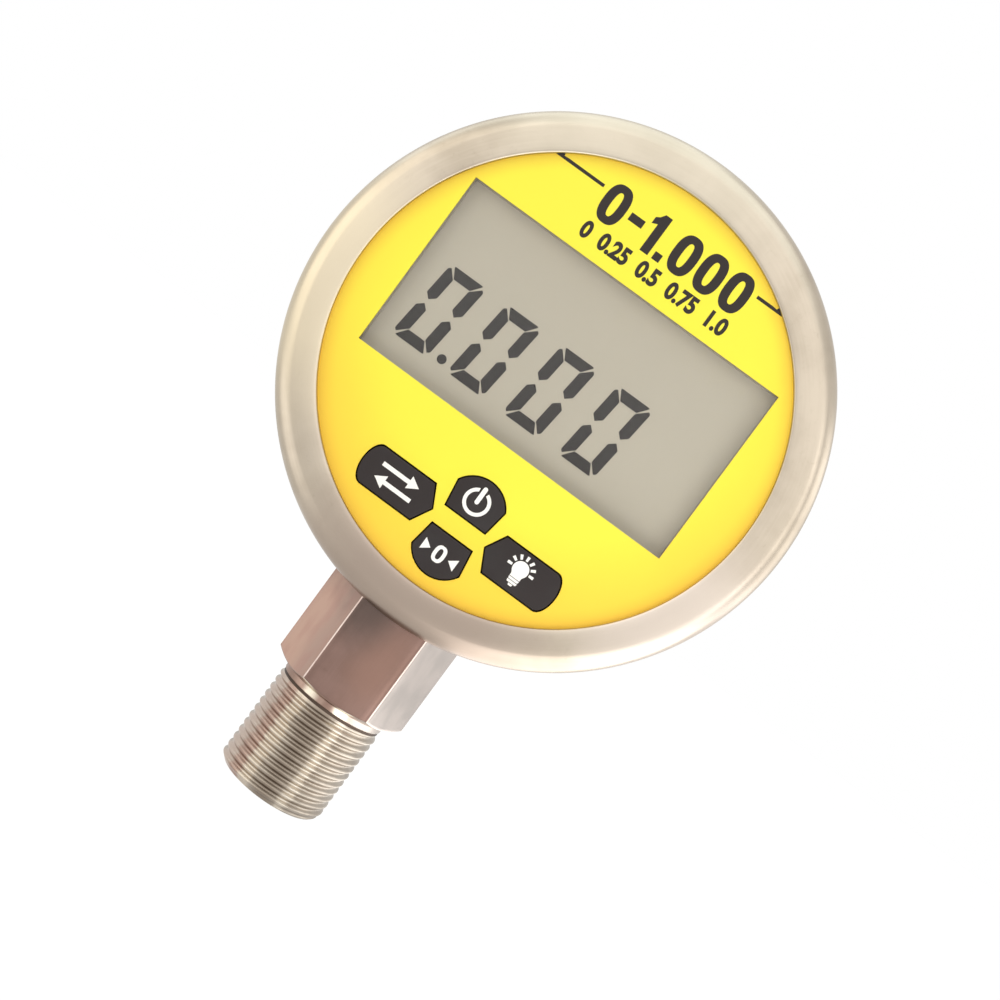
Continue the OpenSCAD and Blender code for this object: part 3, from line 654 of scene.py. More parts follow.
@dataclass(frozen=True)
class Jacket(Finish):
    """Shrunk jacket of a battery cell, with a band at one end."""

    band: RGB = (186, 126, 62)
    band_at: Spot = (11.4, 11.6)
    creased: RGB = (150, 150, 155)

    def look(self, net: Net, point: Sock) -> dict:
        """Gives the shader's sockets: printed film with a band and small creases."""
        x, y, z = net.split(point)
        row = ((z - (DIAL_Z + CELL_Z)) / CELL_PITCH).math("ROUND")
        along = x * (1 - 2 * row.math("COMPARE", 0.0, 0.1))
        crease = net.noise(net.join(x * 0.25, y * 2.0, z * 2.0), 1.0, 3.0)
        colour = net.mix(along.rise(*self.band_at), self.colour, self.band)
        return {"Base Color": net.mix(crease.rise(0.6, 0.9) * 0.3, colour, self.creased),
                "Roughness": crease * 0.15 + self.rough,
                "Coat Weight": 0.4,
                "Normal": net.bump(crease, 0.03, 0.5)}


# The bands of bezel, foot and thread steel are painted reflections and painted highlights.
BEZEL_STEEL = ReflectionBandSteel(
    "bezel steel", (185, 173, 156), 0.34, shade=(165, 153, 136), grain=Grain.DIAL, line=0.35,
    cloud=9.0, relief=0.003, wander=0.08, painted_bands=(
        PaintedBand(-88, 40, 14, (156, 140, 128)), PaintedBand(-27, 28, 8, (208, 195, 183), 0.7),
        PaintedBand(-170, 38, 12, (202, 189, 164)), PaintedBand(104, 44, 16, (190, 181, 163), 0.6)))
CASE_STEEL = Steel("case steel", (184, 175, 163), 0.38, shade=(170, 160, 148), grain=Grain.DIAL,
                   line=0.18, cloud=20.0)
COVER_STEEL = Steel("cover steel", (194, 187, 176), 0.38, shade=(182, 174, 163),
                    grain=Grain.ACROSS, cloud=20.0, relief=0.006)
# Its brown front, bright outer left and grey right and back are painted reflections; its dark top
# is painted shade.
HEX_STEEL = ReflectionPaintedSteel("hexagon steel", (131, 106, 97), 0.35, shade=(115, 92, 83),
                         grain=Grain.UPRIGHT, line=0.3, cloud=6.0)
# Painted highlight along the hexagon's rounded corners.
EDGE_HIGHLIGHT_STEEL = Steel("edge highlight steel", (214, 196, 186), 0.38, shade=(190, 166, 156), cloud=5.0)
# Its bright bands are painted highlights and its dark band a painted reflection.
FOOT_STEEL = ReflectionBandSteel(
    "turned foot steel", (168, 142, 128), 0.36, shade=(140, 115, 103), grain=Grain.STEM,
    line=0.15, cloud=5.0, painted_bands=(
        PaintedBand(-110, 11, 2, (236, 226, 206)), PaintedBand(-88, 8, 2, (134, 108, 96), 0.7),
        PaintedBand(-72, 12, 3, (248, 240, 222), 0.9), PaintedBand(-32, 36, 22, (188, 180, 172))))
# Painted shade in the relief groove under the collar.
GROOVE_SHADE_STEEL = Steel("groove shade steel", (84, 71, 62), 0.5, shade=(66, 55, 48), grain=Grain.STEM)
# Its bands are painted reflections: a dark middle column, a bright column and warm and pale sides.
THREAD_STEEL = ReflectionBandSteel(
    "thread steel", (175, 165, 152), 0.33, shade=(151, 140, 128), grain=Grain.STEM, line=0.08,
    cloud=3.5, relief=0.003, painted_bands=(
        PaintedBand(-88, 24, 2, (130, 117, 104), 0.9), PaintedBand(-66, 8, 2, (205, 195, 180), 0.65),
        PaintedBand(-114, 10, 4, (200, 187, 170), 0.6), PaintedBand(-130, 12, 5, (158, 130, 117), 0.8),
        PaintedBand(-154, 22, 8, (198, 177, 164), 0.6)))
SENSOR_STEEL = Steel("sensor steel", (196, 192, 186), 0.25, grain=Grain.STEM)
SCREW_STEEL = Steel("screw steel", (200, 198, 192), 0.26, cloud=2.0)
NICKEL = Steel("nickel", (206, 200, 188), 0.22, shade=(160, 150, 136), cloud=2.0)
BRASS = Steel("brass", (214, 178, 106), 0.28, shade=(168, 128, 66), grain=Grain.DIAL, cloud=3.0)
YELLOW_FILM = Film("yellow film", (249, 234, 73), 0.42)
BLACK_PRINT = Print("black print", (52, 46, 44), 0.45)
WHITE_PRINT = Print("white print", (248, 244, 236))
LIQUID_BLACK = Print("liquid crystal black", (40, 33, 30), 0.55)
KEY_BLACK = Moulded("key black", (52, 46, 45), 0.6, texture=9.0, depth=0.006, gloss=0.15)
BLACK_PLASTIC = Moulded("black plastic", (42, 42, 44))
PLATE_PLASTIC = FramedPlate("front plate plastic", (42, 42, 44))
CHIP_BLACK = Moulded("chip black", (36, 36, 38), 0.42, texture=14.0)
SOCKET_IVORY = Moulded("socket ivory", (228, 222, 204), 0.42)
LIGHT_WHITE = Moulded("light guide white", (236, 238, 234), 0.4, texture=2.0)
SEAL_BLACK = Rubber("seal rubber", (34, 33, 33), 0.75)
STRIP_GREY = Rubber("strip rubber", (132, 108, 104), 0.7)
DISPLAY_GREY = DisplayGlass("display grey", (188, 179, 162))
WINDOW_CLEAR = ClearPane("window clear", (235, 238, 236), 0.12)
BOARD_GREEN = Laminate("board green", (24, 96, 62), 0.35)
BATTERY_LEADS = Insulation("battery lead insulation", (178, 34, 28), 0.4, switch_x=-17.6)
SENSOR_LEADS = Insulation("sensor lead insulation", (178, 40, 32), 0.4, (226, 224, 218), half=0.8)
CELL_JACKET = Jacket("cell jacket", (46, 52, 66), 0.3)

NODE_FINISHES: tuple[tuple[Finish, str], ...] = (
    (BEZEL_STEEL, "bezel_ring"), (CASE_STEEL, "case_shell"), (COVER_STEEL, "rear_cover"),
    (HEX_STEEL, "process_stem"), (SENSOR_STEEL, "sensor_retainer pressure_sensor"),
    (SCREW_STEEL, "cover_screws tray_screws stem_lock_nut"), (BRASS, "board_spacers"),
    (NICKEL, "contact_plates contact_springs"), (YELLOW_FILM, "face_overlay"),
    (KEY_BLACK, "mode_key power_key light_key tare_key"), (BLACK_PLASTIC, "battery_tray"),
    (PLATE_PLASTIC, "front_plate"), (CHIP_BLACK, "board_chips key_switches"),
    (SOCKET_IVORY, "lead_sockets mode_plunger power_plunger light_plunger tare_plunger"),
    (LIGHT_WHITE, "backlight_panel"), (STRIP_GREY, "contact_strips"),
    (SEAL_BLACK, "front_seal stem_gasket sensor_seal_ring rear_gasket"),
    (DISPLAY_GREY, "lcd_panel"), (WINDOW_CLEAR, "display_window"), (BOARD_GREEN, "main_board"),
    (BATTERY_LEADS, "battery_leads"), (SENSOR_LEADS, "sensor_leads"),
    (CELL_JACKET, "battery_cells"))


def dress_nodes() -> None:
    """Gives every CAD node its finish, also where a piece stands for it."""
    for finish, names in NODE_FINISHES:
        for name in names.split():
            mesh = frame["nodes"][name].data
            if not mesh.materials:
                mesh.materials.append(None)
            for i in range(len(mesh.materials)):
                mesh.materials[i] = finish.material()


# Meshes


class Shape:
    """Collects points and faces, and turns them into one piece."""

    def __init__(self) -> None:
        """Starts empty."""
        self.points: list[Place] = []
        self.faces: list[tuple[int, ...]] = []
        self.marks: list[int] = []

    def add(self, points: Iterable[Sequence[float]], faces: Iterable[Sequence[int]],
            mark: int = 0) -> "Shape":
        """Adds points and faces.

        Args:
            points: places in millimetres.
            faces: corners of each face, counted within these points.
            mark: number of the finish.

        Returns:
            The shape.
        """
        start = len(self.points)
        self.points.extend(tuple(p) for p in points)
        for face in faces:
            self.faces.append(tuple(start + i for i in face))
            self.marks.append(mark)
        return self

    def prism(self, outline: Sequence[Spot], depth: Spot) -> "Shape":
        """Adds a flat piece of the dial between two depths."""
        n = len(outline)
        points = [(x, y, DIAL_Z + z) for y in depth for x, z in outline]
        sides = [(i, (i + 1) % n, n + (i + 1) % n, n + i) for i in range(n)]
        return self.add(points, [tuple(range(n)), tuple(range(2 * n - 1, n - 1, -1)), *sides])

    def loops(self, rings: Sequence[Sequence[Sequence[float]]], closed: bool = False,
              marks: Callable[[int, int], int] = lambda band, step: 0) -> "Shape":
        """Adds the skin through rings of points.

        Args:
            rings: rings with equally many points each.
            closed: True where the last ring joins the first.
            marks: gives the number of the finish from the band and the step round it.

        Returns:
            The shape.
        """
        n, count, start = len(rings[0]), len(rings), len(self.points)
        self.points.extend(tuple(p) for ring in rings for p in ring)
        for j in range(count if closed else count - 1):
            a, b = start + j * n, start + (j + 1) % count * n
            for i in range(n):
                k = (i + 1) % n
                self.faces.append((a + i, a + k, b + k, b + i))
                self.marks.append(marks(j, i))
        return self

    def capped(self, rings: Sequence[Sequence[Place]], marks: Sequence[int] = (0,)) -> "Shape":
        """Adds the skin through rings and closes both its ends.

        Args:
            rings: rings with equally many points each.
            marks: number of the finish behind each ring, or one for all.

        Returns:
            The shape.
        """
        n = len(rings[0])
        self.loops(rings, marks=lambda band, step: marks[band % len(marks)])
        self.add(rings[0], [tuple(range(n))], marks[0])
        return self.add(rings[-1], [tuple(range(n - 1, -1, -1))], marks[-1])

    def copy_in(self, mesh: Mesh) -> "Shape":
        """Adds a mesh that is in metres."""
        return self.add([v.co / MM for v in mesh.vertices], [p.vertices for p in mesh.polygons])

    def mesh(self, name: str, finishes: Sequence[Finish], sharp: float = 30.0) -> Mesh:
        """Makes the mesh: doubles merged, faces outwards, smooth up to an angle.

        Args:
            name: the mesh's name.
            finishes: finishes by number.
            sharp: angle in degrees past which an edge stays sharp.

        Returns:
            The mesh, in metres.
        """
        made = bpy.data.meshes.new(name)
        made.from_pydata([Vector(p) * MM for p in self.points], [], self.faces)
        for finish in finishes:
            made.materials.append(finish.material())
        made.polygons.foreach_set("material_index", self.marks)
        tidy_mesh(made, sharp)
        return made

    def piece(self, name: str, finishes: Sequence[Finish], sharp: float = 30.0) -> Object:
        """Makes an object of the shape; its arguments are those of mesh."""
        return link(name, self.mesh(name, finishes, sharp))


def smooth(mesh: Mesh, sharp: float) -> None:
    """Smooths a mesh but for edges past an angle in degrees."""
    mesh.polygons.foreach_set("use_smooth", [True] * len(mesh.polygons))
    mesh.set_sharp_from_angle(angle=math.radians(sharp))
    mesh.update()


@contextmanager
def edited(mesh: Mesh) -> Iterator[bmesh.types.BMesh]:
    """Opens a mesh for editing and writes it back."""
    work = bmesh.new()
    work.from_mesh(mesh)
    yield work
    work.to_mesh(mesh)
    work.free()


def tidy_mesh(mesh: Mesh, sharp: float) -> None:
    """Merges doubles, turns faces outwards and smooths up to an angle in degrees."""
    with edited(mesh) as work:
        bmesh.ops.remove_doubles(work, verts=work.verts, dist=WELD * MM)
        bmesh.ops.dissolve_degenerate(work, edges=work.edges, dist=SLIVER * MM)
        bmesh.ops.recalc_face_normals(work, faces=work.faces)
    smooth(mesh, sharp)


def link(name: str, data: bpy.types.ID) -> Object:
    """Makes an object of a mesh, curve, lamp or camera and puts it in the scene."""
    made = bpy.data.objects.new(name, data)
    bpy.context.scene.collection.objects.link(made)
    return made


def evaluated(piece: Object) -> Mesh:
    """Gives the mesh that an object has with its modifiers."""
    graph = bpy.context.evaluated_depsgraph_get()
    graph.update()
    return bpy.data.meshes.new_from_object(piece.evaluated_get(graph), depsgraph=graph)


def settle(piece: Object) -> Object:
    """Gives an object its evaluated mesh and no modifiers."""
    mesh = evaluated(piece)
    piece.modifiers.clear()
    piece.data = mesh
    return piece


def soften(piece: Object, width: float, segments: int = 2) -> Object:
    """Rounds a piece's edges slightly.

    Args:
        piece: the piece.
        width: width of the rounding.
        segments: faces across the rounding.

    Returns:
        The piece, with a plain mesh.
    """
    bevel = piece.modifiers.new("soft edges", "BEVEL")
    bevel.limit_method, bevel.angle_limit = "ANGLE", math.radians(32)
    bevel.width, bevel.segments = width * MM, segments
    bevel.use_clamp_overlap, bevel.miter_outer = True, "MITER_ARC"
    smooth(settle(piece).data, 50)
    return piece


def refine(name: str, node: str, finish: Finish, width: float) -> Object:
    """Makes a smooth copy of a CAD node, with softened edges.

    Args:
        name: the copy's name.
        node: the CAD node.
        finish: its finish.
        width: width of the softened edges; 0 for none.

    Returns:
        The copy.
    """
    mesh = frame["nodes"][node].data.copy()
    mesh.materials.clear()
    mesh.materials.append(finish.material())
    with edited(mesh) as work:
        bmesh.ops.remove_doubles(work, verts=work.verts, dist=CAD_WELD * MM)
        bmesh.ops.dissolve_limit(work, angle_limit=math.radians(CAD_FLAT), verts=work.verts,
                                 edges=work.edges)
    smooth(mesh, 30)
    made = link(name, mesh)
    return soften(made, width) if width else made


def seat(piece: Object, body: str, slot: str, node: str = "") -> Object:
    """Puts a piece on its body.

    Args:
        piece: the piece.
        body: the body that it rides on.
        slot: its material slot; not used.
        node: the CAD node that it stands for, if any.

    Returns:
        The piece.
    """
    if node:
        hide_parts(node)
    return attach(piece, body)


def around(steps: int) -> list[float]:
    """Gives equally spaced angles of a full turn, in radians."""
    return [2 * math.pi * i / steps for i in range(steps)]


def dial_ring(r: float, y: float, steps: int, centre: Spot = (0, 0)) -> list[Place]:
    """Gives a ring of points about an axis that runs into the dial."""
    return [(centre[0] + r * math.cos(a), y, DIAL_Z + centre[1] + r * math.sin(a))
            for a in around(steps)]


def text_mesh(name: str, words: str, box: tuple[float, float, float, float], depth: Spot,
              bold: float) -> Mesh:
    """Makes plain figures as thin solid print that fills a box on the dial.

    Args:
        name: the mesh's name.
        words: the figures.
        box: left, lower, right and upper edge, heights above the dial's centre.
        depth: its front and back.
        bold: how far the strokes are widened on each side, as a share of the figures' size.

    Returns:
        The mesh, in metres.
    """
    curve = bpy.data.curves.new(name, "FONT")
    curve.body, curve.offset, curve.extrude = words, bold, 0.5
    made = link(name, curve)
    mesh = evaluated(made)
    bpy.data.objects.remove(made)
    xs, zs = [v.co.x for v in mesh.vertices], [v.co.y for v in mesh.vertices]
    wide, tall = (box[2] - box[0]) / (max(xs) - min(xs)), (box[3] - box[1]) / (max(zs) - min(zs))
    start = Matrix.Translation((-min(xs), -min(zs), 0))
    thick = depth[1] - depth[0]
    place = Matrix.Translation(Vector((box[0], sum(depth) / 2, DIAL_Z + box[1])) * MM)
    mesh.transform(place @ Matrix.Rotation(math.pi / 2, 4, "X")
                   @ Matrix.Diagonal((MM * wide, MM * tall, MM * thick, 1)) @ start)
    return mesh


def nought(shape: Shape, centre: Spot, size: Spot, stroke: float, depth: Spot) -> None:
    """Adds a bold nought to a shape of the dial.

    Args:
        shape: the shape that it joins.
        centre: its centre.
        size: its width and height.
        stroke: width of its stroke at the sides.
        depth: its front and back.
    """
    def oval(thin: Spot, y: float) -> list[Place]:
        """Gives a ring of points on a rounded box, thinner than the nought by a width each way."""
        half_w, half_h = size[0] / 2 - thin[0], size[1] / 2 - thin[1]
        turns = [(math.cos(a), math.sin(a)) for a in around(64)]
        return [(centre[0] + half_w * math.copysign(abs(c) ** NOUGHT_FORM, c), y,
                 DIAL_Z + centre[1] + half_h * math.copysign(abs(s) ** NOUGHT_FORM, s))
                for c, s in turns]

    outer, inner = (0.0, 0.0), (stroke, stroke * NOUGHT_TOP)
    front, back = depth
    shape.loops([oval(outer, front), oval(outer, back), oval(inner, back), oval(inner, front)],
                closed=True)


# Patterns made by Geometry Nodes


class Pattern:
    """A Geometry Nodes tree with named inputs that is run once on a mesh. Its given holds the mesh
    that goes in and then the inputs, in their order."""

    def __init__(self, name: str, inputs: dict[str, Union[float, int]]) -> None:
        """Makes the tree and its inputs.

        Args:
            name: the tree's name.
            inputs: value of each input by name; whole numbers stay whole.
        """
        self.name = name
        self.tree = bpy.data.node_groups.new(name, "GeometryNodeTree")
        self.net = Net(self.tree)
        sides = self.tree.interface
        sides.new_socket("Geometry", in_out="INPUT", socket_type="NodeSocketGeometry")
        sides.new_socket("Geometry", in_out="OUTPUT", socket_type="NodeSocketGeometry")
        self.values: dict[str, Union[float, int]] = {}
        for label, value in inputs.items():
            kind = "NodeSocketInt" if isinstance(value, int) else "NodeSocketFloat"
            socket = sides.new_socket(label, in_out="INPUT", socket_type=kind)
            self.values[socket.identifier] = value
        entry = self.tree.nodes.new("NodeGroupInput")
        self.given = [Sock(self.net, entry.outputs[label]) for label in ("Geometry", *inputs)]

    def run(self, shape: Sock, source: Mesh, finish: Finish) -> Mesh:
        """Closes the tree, runs it and gives its result.

        Args:
            shape: the geometry that the tree has made.
            source: the mesh that goes in.
            finish: the finish that it gets.

        Returns:
            A plain mesh, in metres.
        """
        real = self.net.node("GeometryNodeRealizeInstances", None, {0: shape})
        dressed = self.net.node("GeometryNodeSetMaterial", None,
                                {"Geometry": real, "Material": finish.material()})
        self.net.node("NodeGroupOutput", None, {0: dressed})
        carrier = link(self.name, source)
        live = carrier.modifiers.new(self.name, "NODES")
        live.node_group = self.tree
        for identifier, value in self.values.items():
            live[identifier] = value
        mesh = settle(carrier).data
        bpy.data.objects.remove(carrier)
        return mesh


def in_row(source: Mesh, finish: Finish, count: int, step: float) -> Mesh:
    """Repeats a mesh in a row to the right.

    Args:
        source: the mesh to repeat.
        finish: its finish.
        count: how many there are.
        step: distance from one to the next.

    Returns:
        The row's mesh.
    """
    row = Pattern("row", {"Count": count, "Step": step * MM})
    given, number, along = row.given
    line = row.net.node("GeometryNodeMeshLine", None,
                        {"Count": number, "Offset": row.net.join(along, 0.0, 0.0)})
    copies = row.net.node("GeometryNodeInstanceOnPoints", None, {"Points": line, "Instance": given})
    return row.run(copies, source, finish)


def in_round(source: Mesh, finish: Finish, count: int, step: float,
             centre: Spot = (0, 0)) -> Mesh:
    """Repeats a mesh about an axis that runs into the dial.

    Args:
        source: the mesh to repeat.
        finish: its finish.
        count: how many there are.
        step: angle from one to the next in degrees, clockwise as seen from the front.
        centre: place of the axis on the dial.

    Returns:
        The round's mesh.
    """
    ring = Pattern("round", {"Count": count, "Step": math.radians(step), "Centre X": centre[0] * MM,
                             "Centre Z": (DIAL_Z + centre[1]) * MM})
    net = ring.net
    given, number, angle, x, z = ring.given
    axis = net.join(x, 0.0, z)
    back = net.node("ShaderNodeVectorMath", {"operation": "SCALE"}, {0: axis, "Scale": -1.0})
    centred = net.node("GeometryNodeTransform", None, {"Geometry": given, "Translation": back})
    line = net.node("GeometryNodeMeshLine", None, {"Count": number, "Offset": (0.0, 0.0, 0.0)})
    turn = net.join(0.0, net.node("GeometryNodeInputIndex") * angle, 0.0)
    copies = net.node("GeometryNodeInstanceOnPoints", None,
                      {"Points": line, "Instance": centred, "Rotation": turn})
    placed = net.node("GeometryNodeTransform", None, {"Geometry": copies, "Translation": axis})
    return ring.run(placed, source, finish)


# Sub-assemblies


class Skin(IntEnum):
    """Number of each finish on the stem."""

    THREAD = 0
    HEXAGON = 1
    EDGE = 2
    GROOVE = 3
    FOOT = 4


@dataclass
class Stem:
    """Process stem: cut thread, collar, hexagon, neck, port and sensor chamber."""

    thread_d: float = 20.0
    thread_l: float = 17.8
    full_l: float = 17.2
    pitch: float = 1.5
    thread_depth: float = 0.54
    flank: Spot = (0.1, 0.94)
    chamfer: float = 0.8
    groove_d: float = 19.3
    groove_top: float = 18.28
    collar_d: float = 19.6
    shoulder: float = 19.5
    hex_af: float = 22.0
    hex_top: float = 38.0
    hex_turn: float = 4.75
    hex_edge: float = 0.34
    foot_d: float = 20.5
    foot_l: float = 1.1
    head_l: float = 0.5
    neck_d: float = 18.0
    neck_top: float = 45.0
    chamber_d: float = 15.2
    chamber_z: float = 27.0
    port_d: float = 5.0
    port_edge: float = 0.45
    steps: int = 96
    across: int = 17
    corner_angles: tuple[float, ...] = (-1.4, -0.6, -0.34, -0.11, 0.11, 0.34, 0.6, 1.4)
    flat_steps: int = 17
    flat_from: float = 2.6
    weld: float = 0.0008

    def thread_mesh(self) -> Mesh:
        """Makes the helical skin of the thread, from its end chamfer to its run-out."""
        cut = Pattern("helical thread", {
            "Turns": math.ceil(self.thread_l / self.pitch) + 2, "Steps": self.steps,
            "Radius": self.thread_d / 2 * MM, "Pitch": self.pitch * MM,
            "Depth": self.thread_depth * MM, "Length": self.thread_l * MM,
            "Full length": self.full_l * MM, "Chamfer": self.chamfer * MM,
            "Groove": self.groove_d / 2 * MM, "Collar": self.collar_d / 2 * MM})
        net = cut.net
        _, turns, steps, crest_r, pitch, depth, length, full, chamfer, groove, collar = cut.given
        grid = net.node("GeometryNodeMeshGrid", None, {
            "Size X": 1.0, "Size Y": 1.0, "Vertices X": turns * steps + 1,
            "Vertices Y": self.across})
        u, v, _ = net.split(net.node("GeometryNodeInputPosition"))
        share = v + 0.5
        turned = (u + 0.5) * turns
        height = ((turned + share - 1.5) * pitch).high(0.0).low(length)
        past = ((height - full) / pitch * 4).clipped()
        left = ((length - height) / pitch * 3).clipped()
        cut_in = (share * 2 - 1).size().rise(*self.flank) * depth
        plain = crest_r - (crest_r - collar) * past - cut_in
        radius = plain.low(height + (crest_r - chamfer)) * left + groove * (1 - left)
        angle = turned * (2 * math.pi)
        place = net.join(radius * angle.math("COSINE"), radius * angle.math("SINE"), height)
        skin = net.node("GeometryNodeSetPosition", None, {"Geometry": grid, "Position": place})
        whole = net.node("GeometryNodeMergeByDistance", None,
                         {"Geometry": skin, "Distance": self.weld * MM})
        return cut.run(whole, bpy.data.meshes.new("thread seed"), THREAD_STEEL)

    def flat_radius(self, angle: float) -> float:
        """Gives the hexagon's radius at an angle in radians, with rounded corners."""
        sector = math.radians(60)
        off = (angle - math.radians(self.hex_turn) + sector / 2) % sector - sector / 2
        plain = self.hex_af / 2 / math.cos(sector / 2 - abs(off))
        centre = (self.hex_af / 2 - self.hex_edge) / math.cos(sector / 2)
        reach = self.hex_edge ** 2 - (centre * math.sin(off)) ** 2
        return min(plain, centre * math.cos(off) + math.sqrt(reach)) if reach > 0 else plain

    def body_angles(self) -> list[float]:
        """Gives the angles of the hexagon's points, closer together at its corners."""
        wide = 60 - 2 * self.flat_from
        flat = [self.flat_from + wide * i / self.flat_steps for i in range(self.flat_steps + 1)]
        return [math.radians(self.hex_turn + 60 * k + a) for k in range(6)
                for a in (*self.corner_angles, *flat)]

    def body_rings(self) -> tuple[list[list[Place]], list[Skin]]:
        """Gives the rings of the collar, hexagon, neck and bores, and the skin behind each."""
        foot, corner = self.foot_d / 2, self.hex_af / math.sqrt(3)
        slope, head = self.foot_l / (corner - foot), corner - 2 * self.head_l
        groove, collar, neck, chamber, port = (d / 2 for d in (
            self.groove_d, self.collar_d, self.neck_d, self.chamber_d, self.port_d))

        def chamfered(back: float) -> Callable[[float], Spot]:
            """Gives points on the lower chamfer, inside the edge of a flat."""
            def form(a: float) -> Spot:
                """Gives the point at an angle."""
                r = max(self.flat_radius(a) - back, foot + 0.02)
                return r, self.shoulder + (r - foot) * slope
            return form

        def flat(up: float) -> Callable[[float], Spot]:
            """Gives points on a flat, above its lower edge."""
            return lambda a: (self.flat_radius(a),
                              self.shoulder + (self.flat_radius(a) - foot) * slope + up)

        def headed(down: float) -> Callable[[float], Spot]:
            """Gives points on a flat, below its upper edge."""
            return lambda a: (self.flat_radius(a),
                              self.hex_top - max(0.0, (self.flat_radius(a) - head) / 2) - down)

        def round_at(r: float, z: float) -> Callable[[float], Spot]:
            """Gives points of a round ring."""
            return lambda a: (r, z)

        forms = {
            Skin.GROOVE: [round_at(port, self.thread_l), round_at(groove, self.thread_l),
                          round_at(groove, self.groove_top)],
            Skin.FOOT: [round_at(collar - 0.12, self.groove_top),
                        round_at(collar, self.groove_top + 0.12),
                        round_at(collar, self.shoulder - 0.1),
                        round_at(collar + 0.1, self.shoulder), round_at(foot - 0.08, self.shoulder),
                        round_at(foot + 0.02, self.shoulder + 0.06), chamfered(0.34),
                        chamfered(0.08)],
            Skin.HEXAGON: [flat(0.1), flat(0.45), headed(0.5), headed(0.12),
                           lambda a: (min(self.flat_radius(a) - 0.1, head), self.hex_top),
                           round_at(neck, self.hex_top), round_at(neck, self.neck_top - 0.4),
                           round_at(neck - 0.4, self.neck_top),
                           round_at(chamber + 0.2, self.neck_top),
                           round_at(chamber, self.neck_top - 0.2),
                           round_at(chamber, self.chamber_z), round_at(port, self.chamber_z)]}
        listed = [(skin, form) for skin, group in forms.items() for form in group]
        angles = self.body_angles()
        rings = [[(r * math.cos(a), r * math.sin(a), z) for a in angles for r, z in [form(a)]]
                 for _, form in listed]
        return rings, [skin for skin, _ in listed]

    def build(self) -> list[Object]:
        """Builds the stem, which stands for its CAD node."""
        port = self.port_d / 2
        profile = [(self.groove_d / 2, self.thread_l), (port, self.thread_l),
                   (port, self.port_edge), (port + self.port_edge, 0.0),
                   (self.thread_d / 2 - self.chamfer, 0.0)]
        shape = Shape().copy_in(self.thread_mesh())
        shape.loops([[(r * math.cos(a), r * math.sin(a), z) for a in around(self.steps)]
                     for r, z in profile])
        rings, skins = self.body_rings()
        cycle = len(rings[0]) // 6

        def skin(band: int, step: int) -> int:
            """Gives the finish of a face: the hexagon's rounded corners get a painted highlight."""
            worn = skins[band] is Skin.HEXAGON and 1 <= step % cycle <= 5
            return Skin.EDGE if worn else skins[band]

        shape.loops(rings, True, skin)
        piece = shape.piece("stem", [THREAD_STEEL, HEX_STEEL, EDGE_HIGHLIGHT_STEEL, GROOVE_SHADE_STEEL, FOOT_STEEL],
                            38.0)
        return [seat(piece, BODY, "stem_steel", "process_stem")]


@dataclass
class Bezel:
    """Rolled steel ring round the face."""

    lip_r: float = 37.5
    front: float = -16.0
    lip_back: float = -15.0
    outer_r: float = 44.78
    roll: float = 3.6
    back: float = -11.8
    skirt_r: float = 43.05
    steps: int = 288
    lip: tuple[Spot, ...] = (
        (0.0, 1.0), (0.0, 0.52), (0.03, 0.4), (0.1, 0.28), (0.22, 0.2), (0.45, 0.145), (0.8, 0.1),
        (1.3, 0.055), (1.9, 0.02), (2.6, 0.0), (3.3, 0.01))

    def profile(self) -> list[Spot]:
        """Gives the ring's outline: radius and depth of each point."""
        centre = (self.outer_r - self.roll, self.front + self.roll)
        points = moved(self.lip, (self.lip_r, self.front))
        points += [polar(self.roll, a, centre) for a in range(-84, 1, 4)]
        edge = self.back - centre[1]
        points += [polar(edge, a, (self.outer_r - edge, centre[1])) for a in (22, 45, 68, 90)]
        return points + [(self.skirt_r, self.back), (self.skirt_r, self.lip_back)]

    def build(self) -> list[Object]:
        """Builds the bezel, which stands for its CAD node."""
        rings = [dial_ring(r, y, self.steps) for r, y in self.profile()]
        piece = Shape().loops(rings, closed=True).piece("bezel", [BEZEL_STEEL], 34.0)
        return [seat(piece, BODY, "bezel_steel", "bezel_ring")]


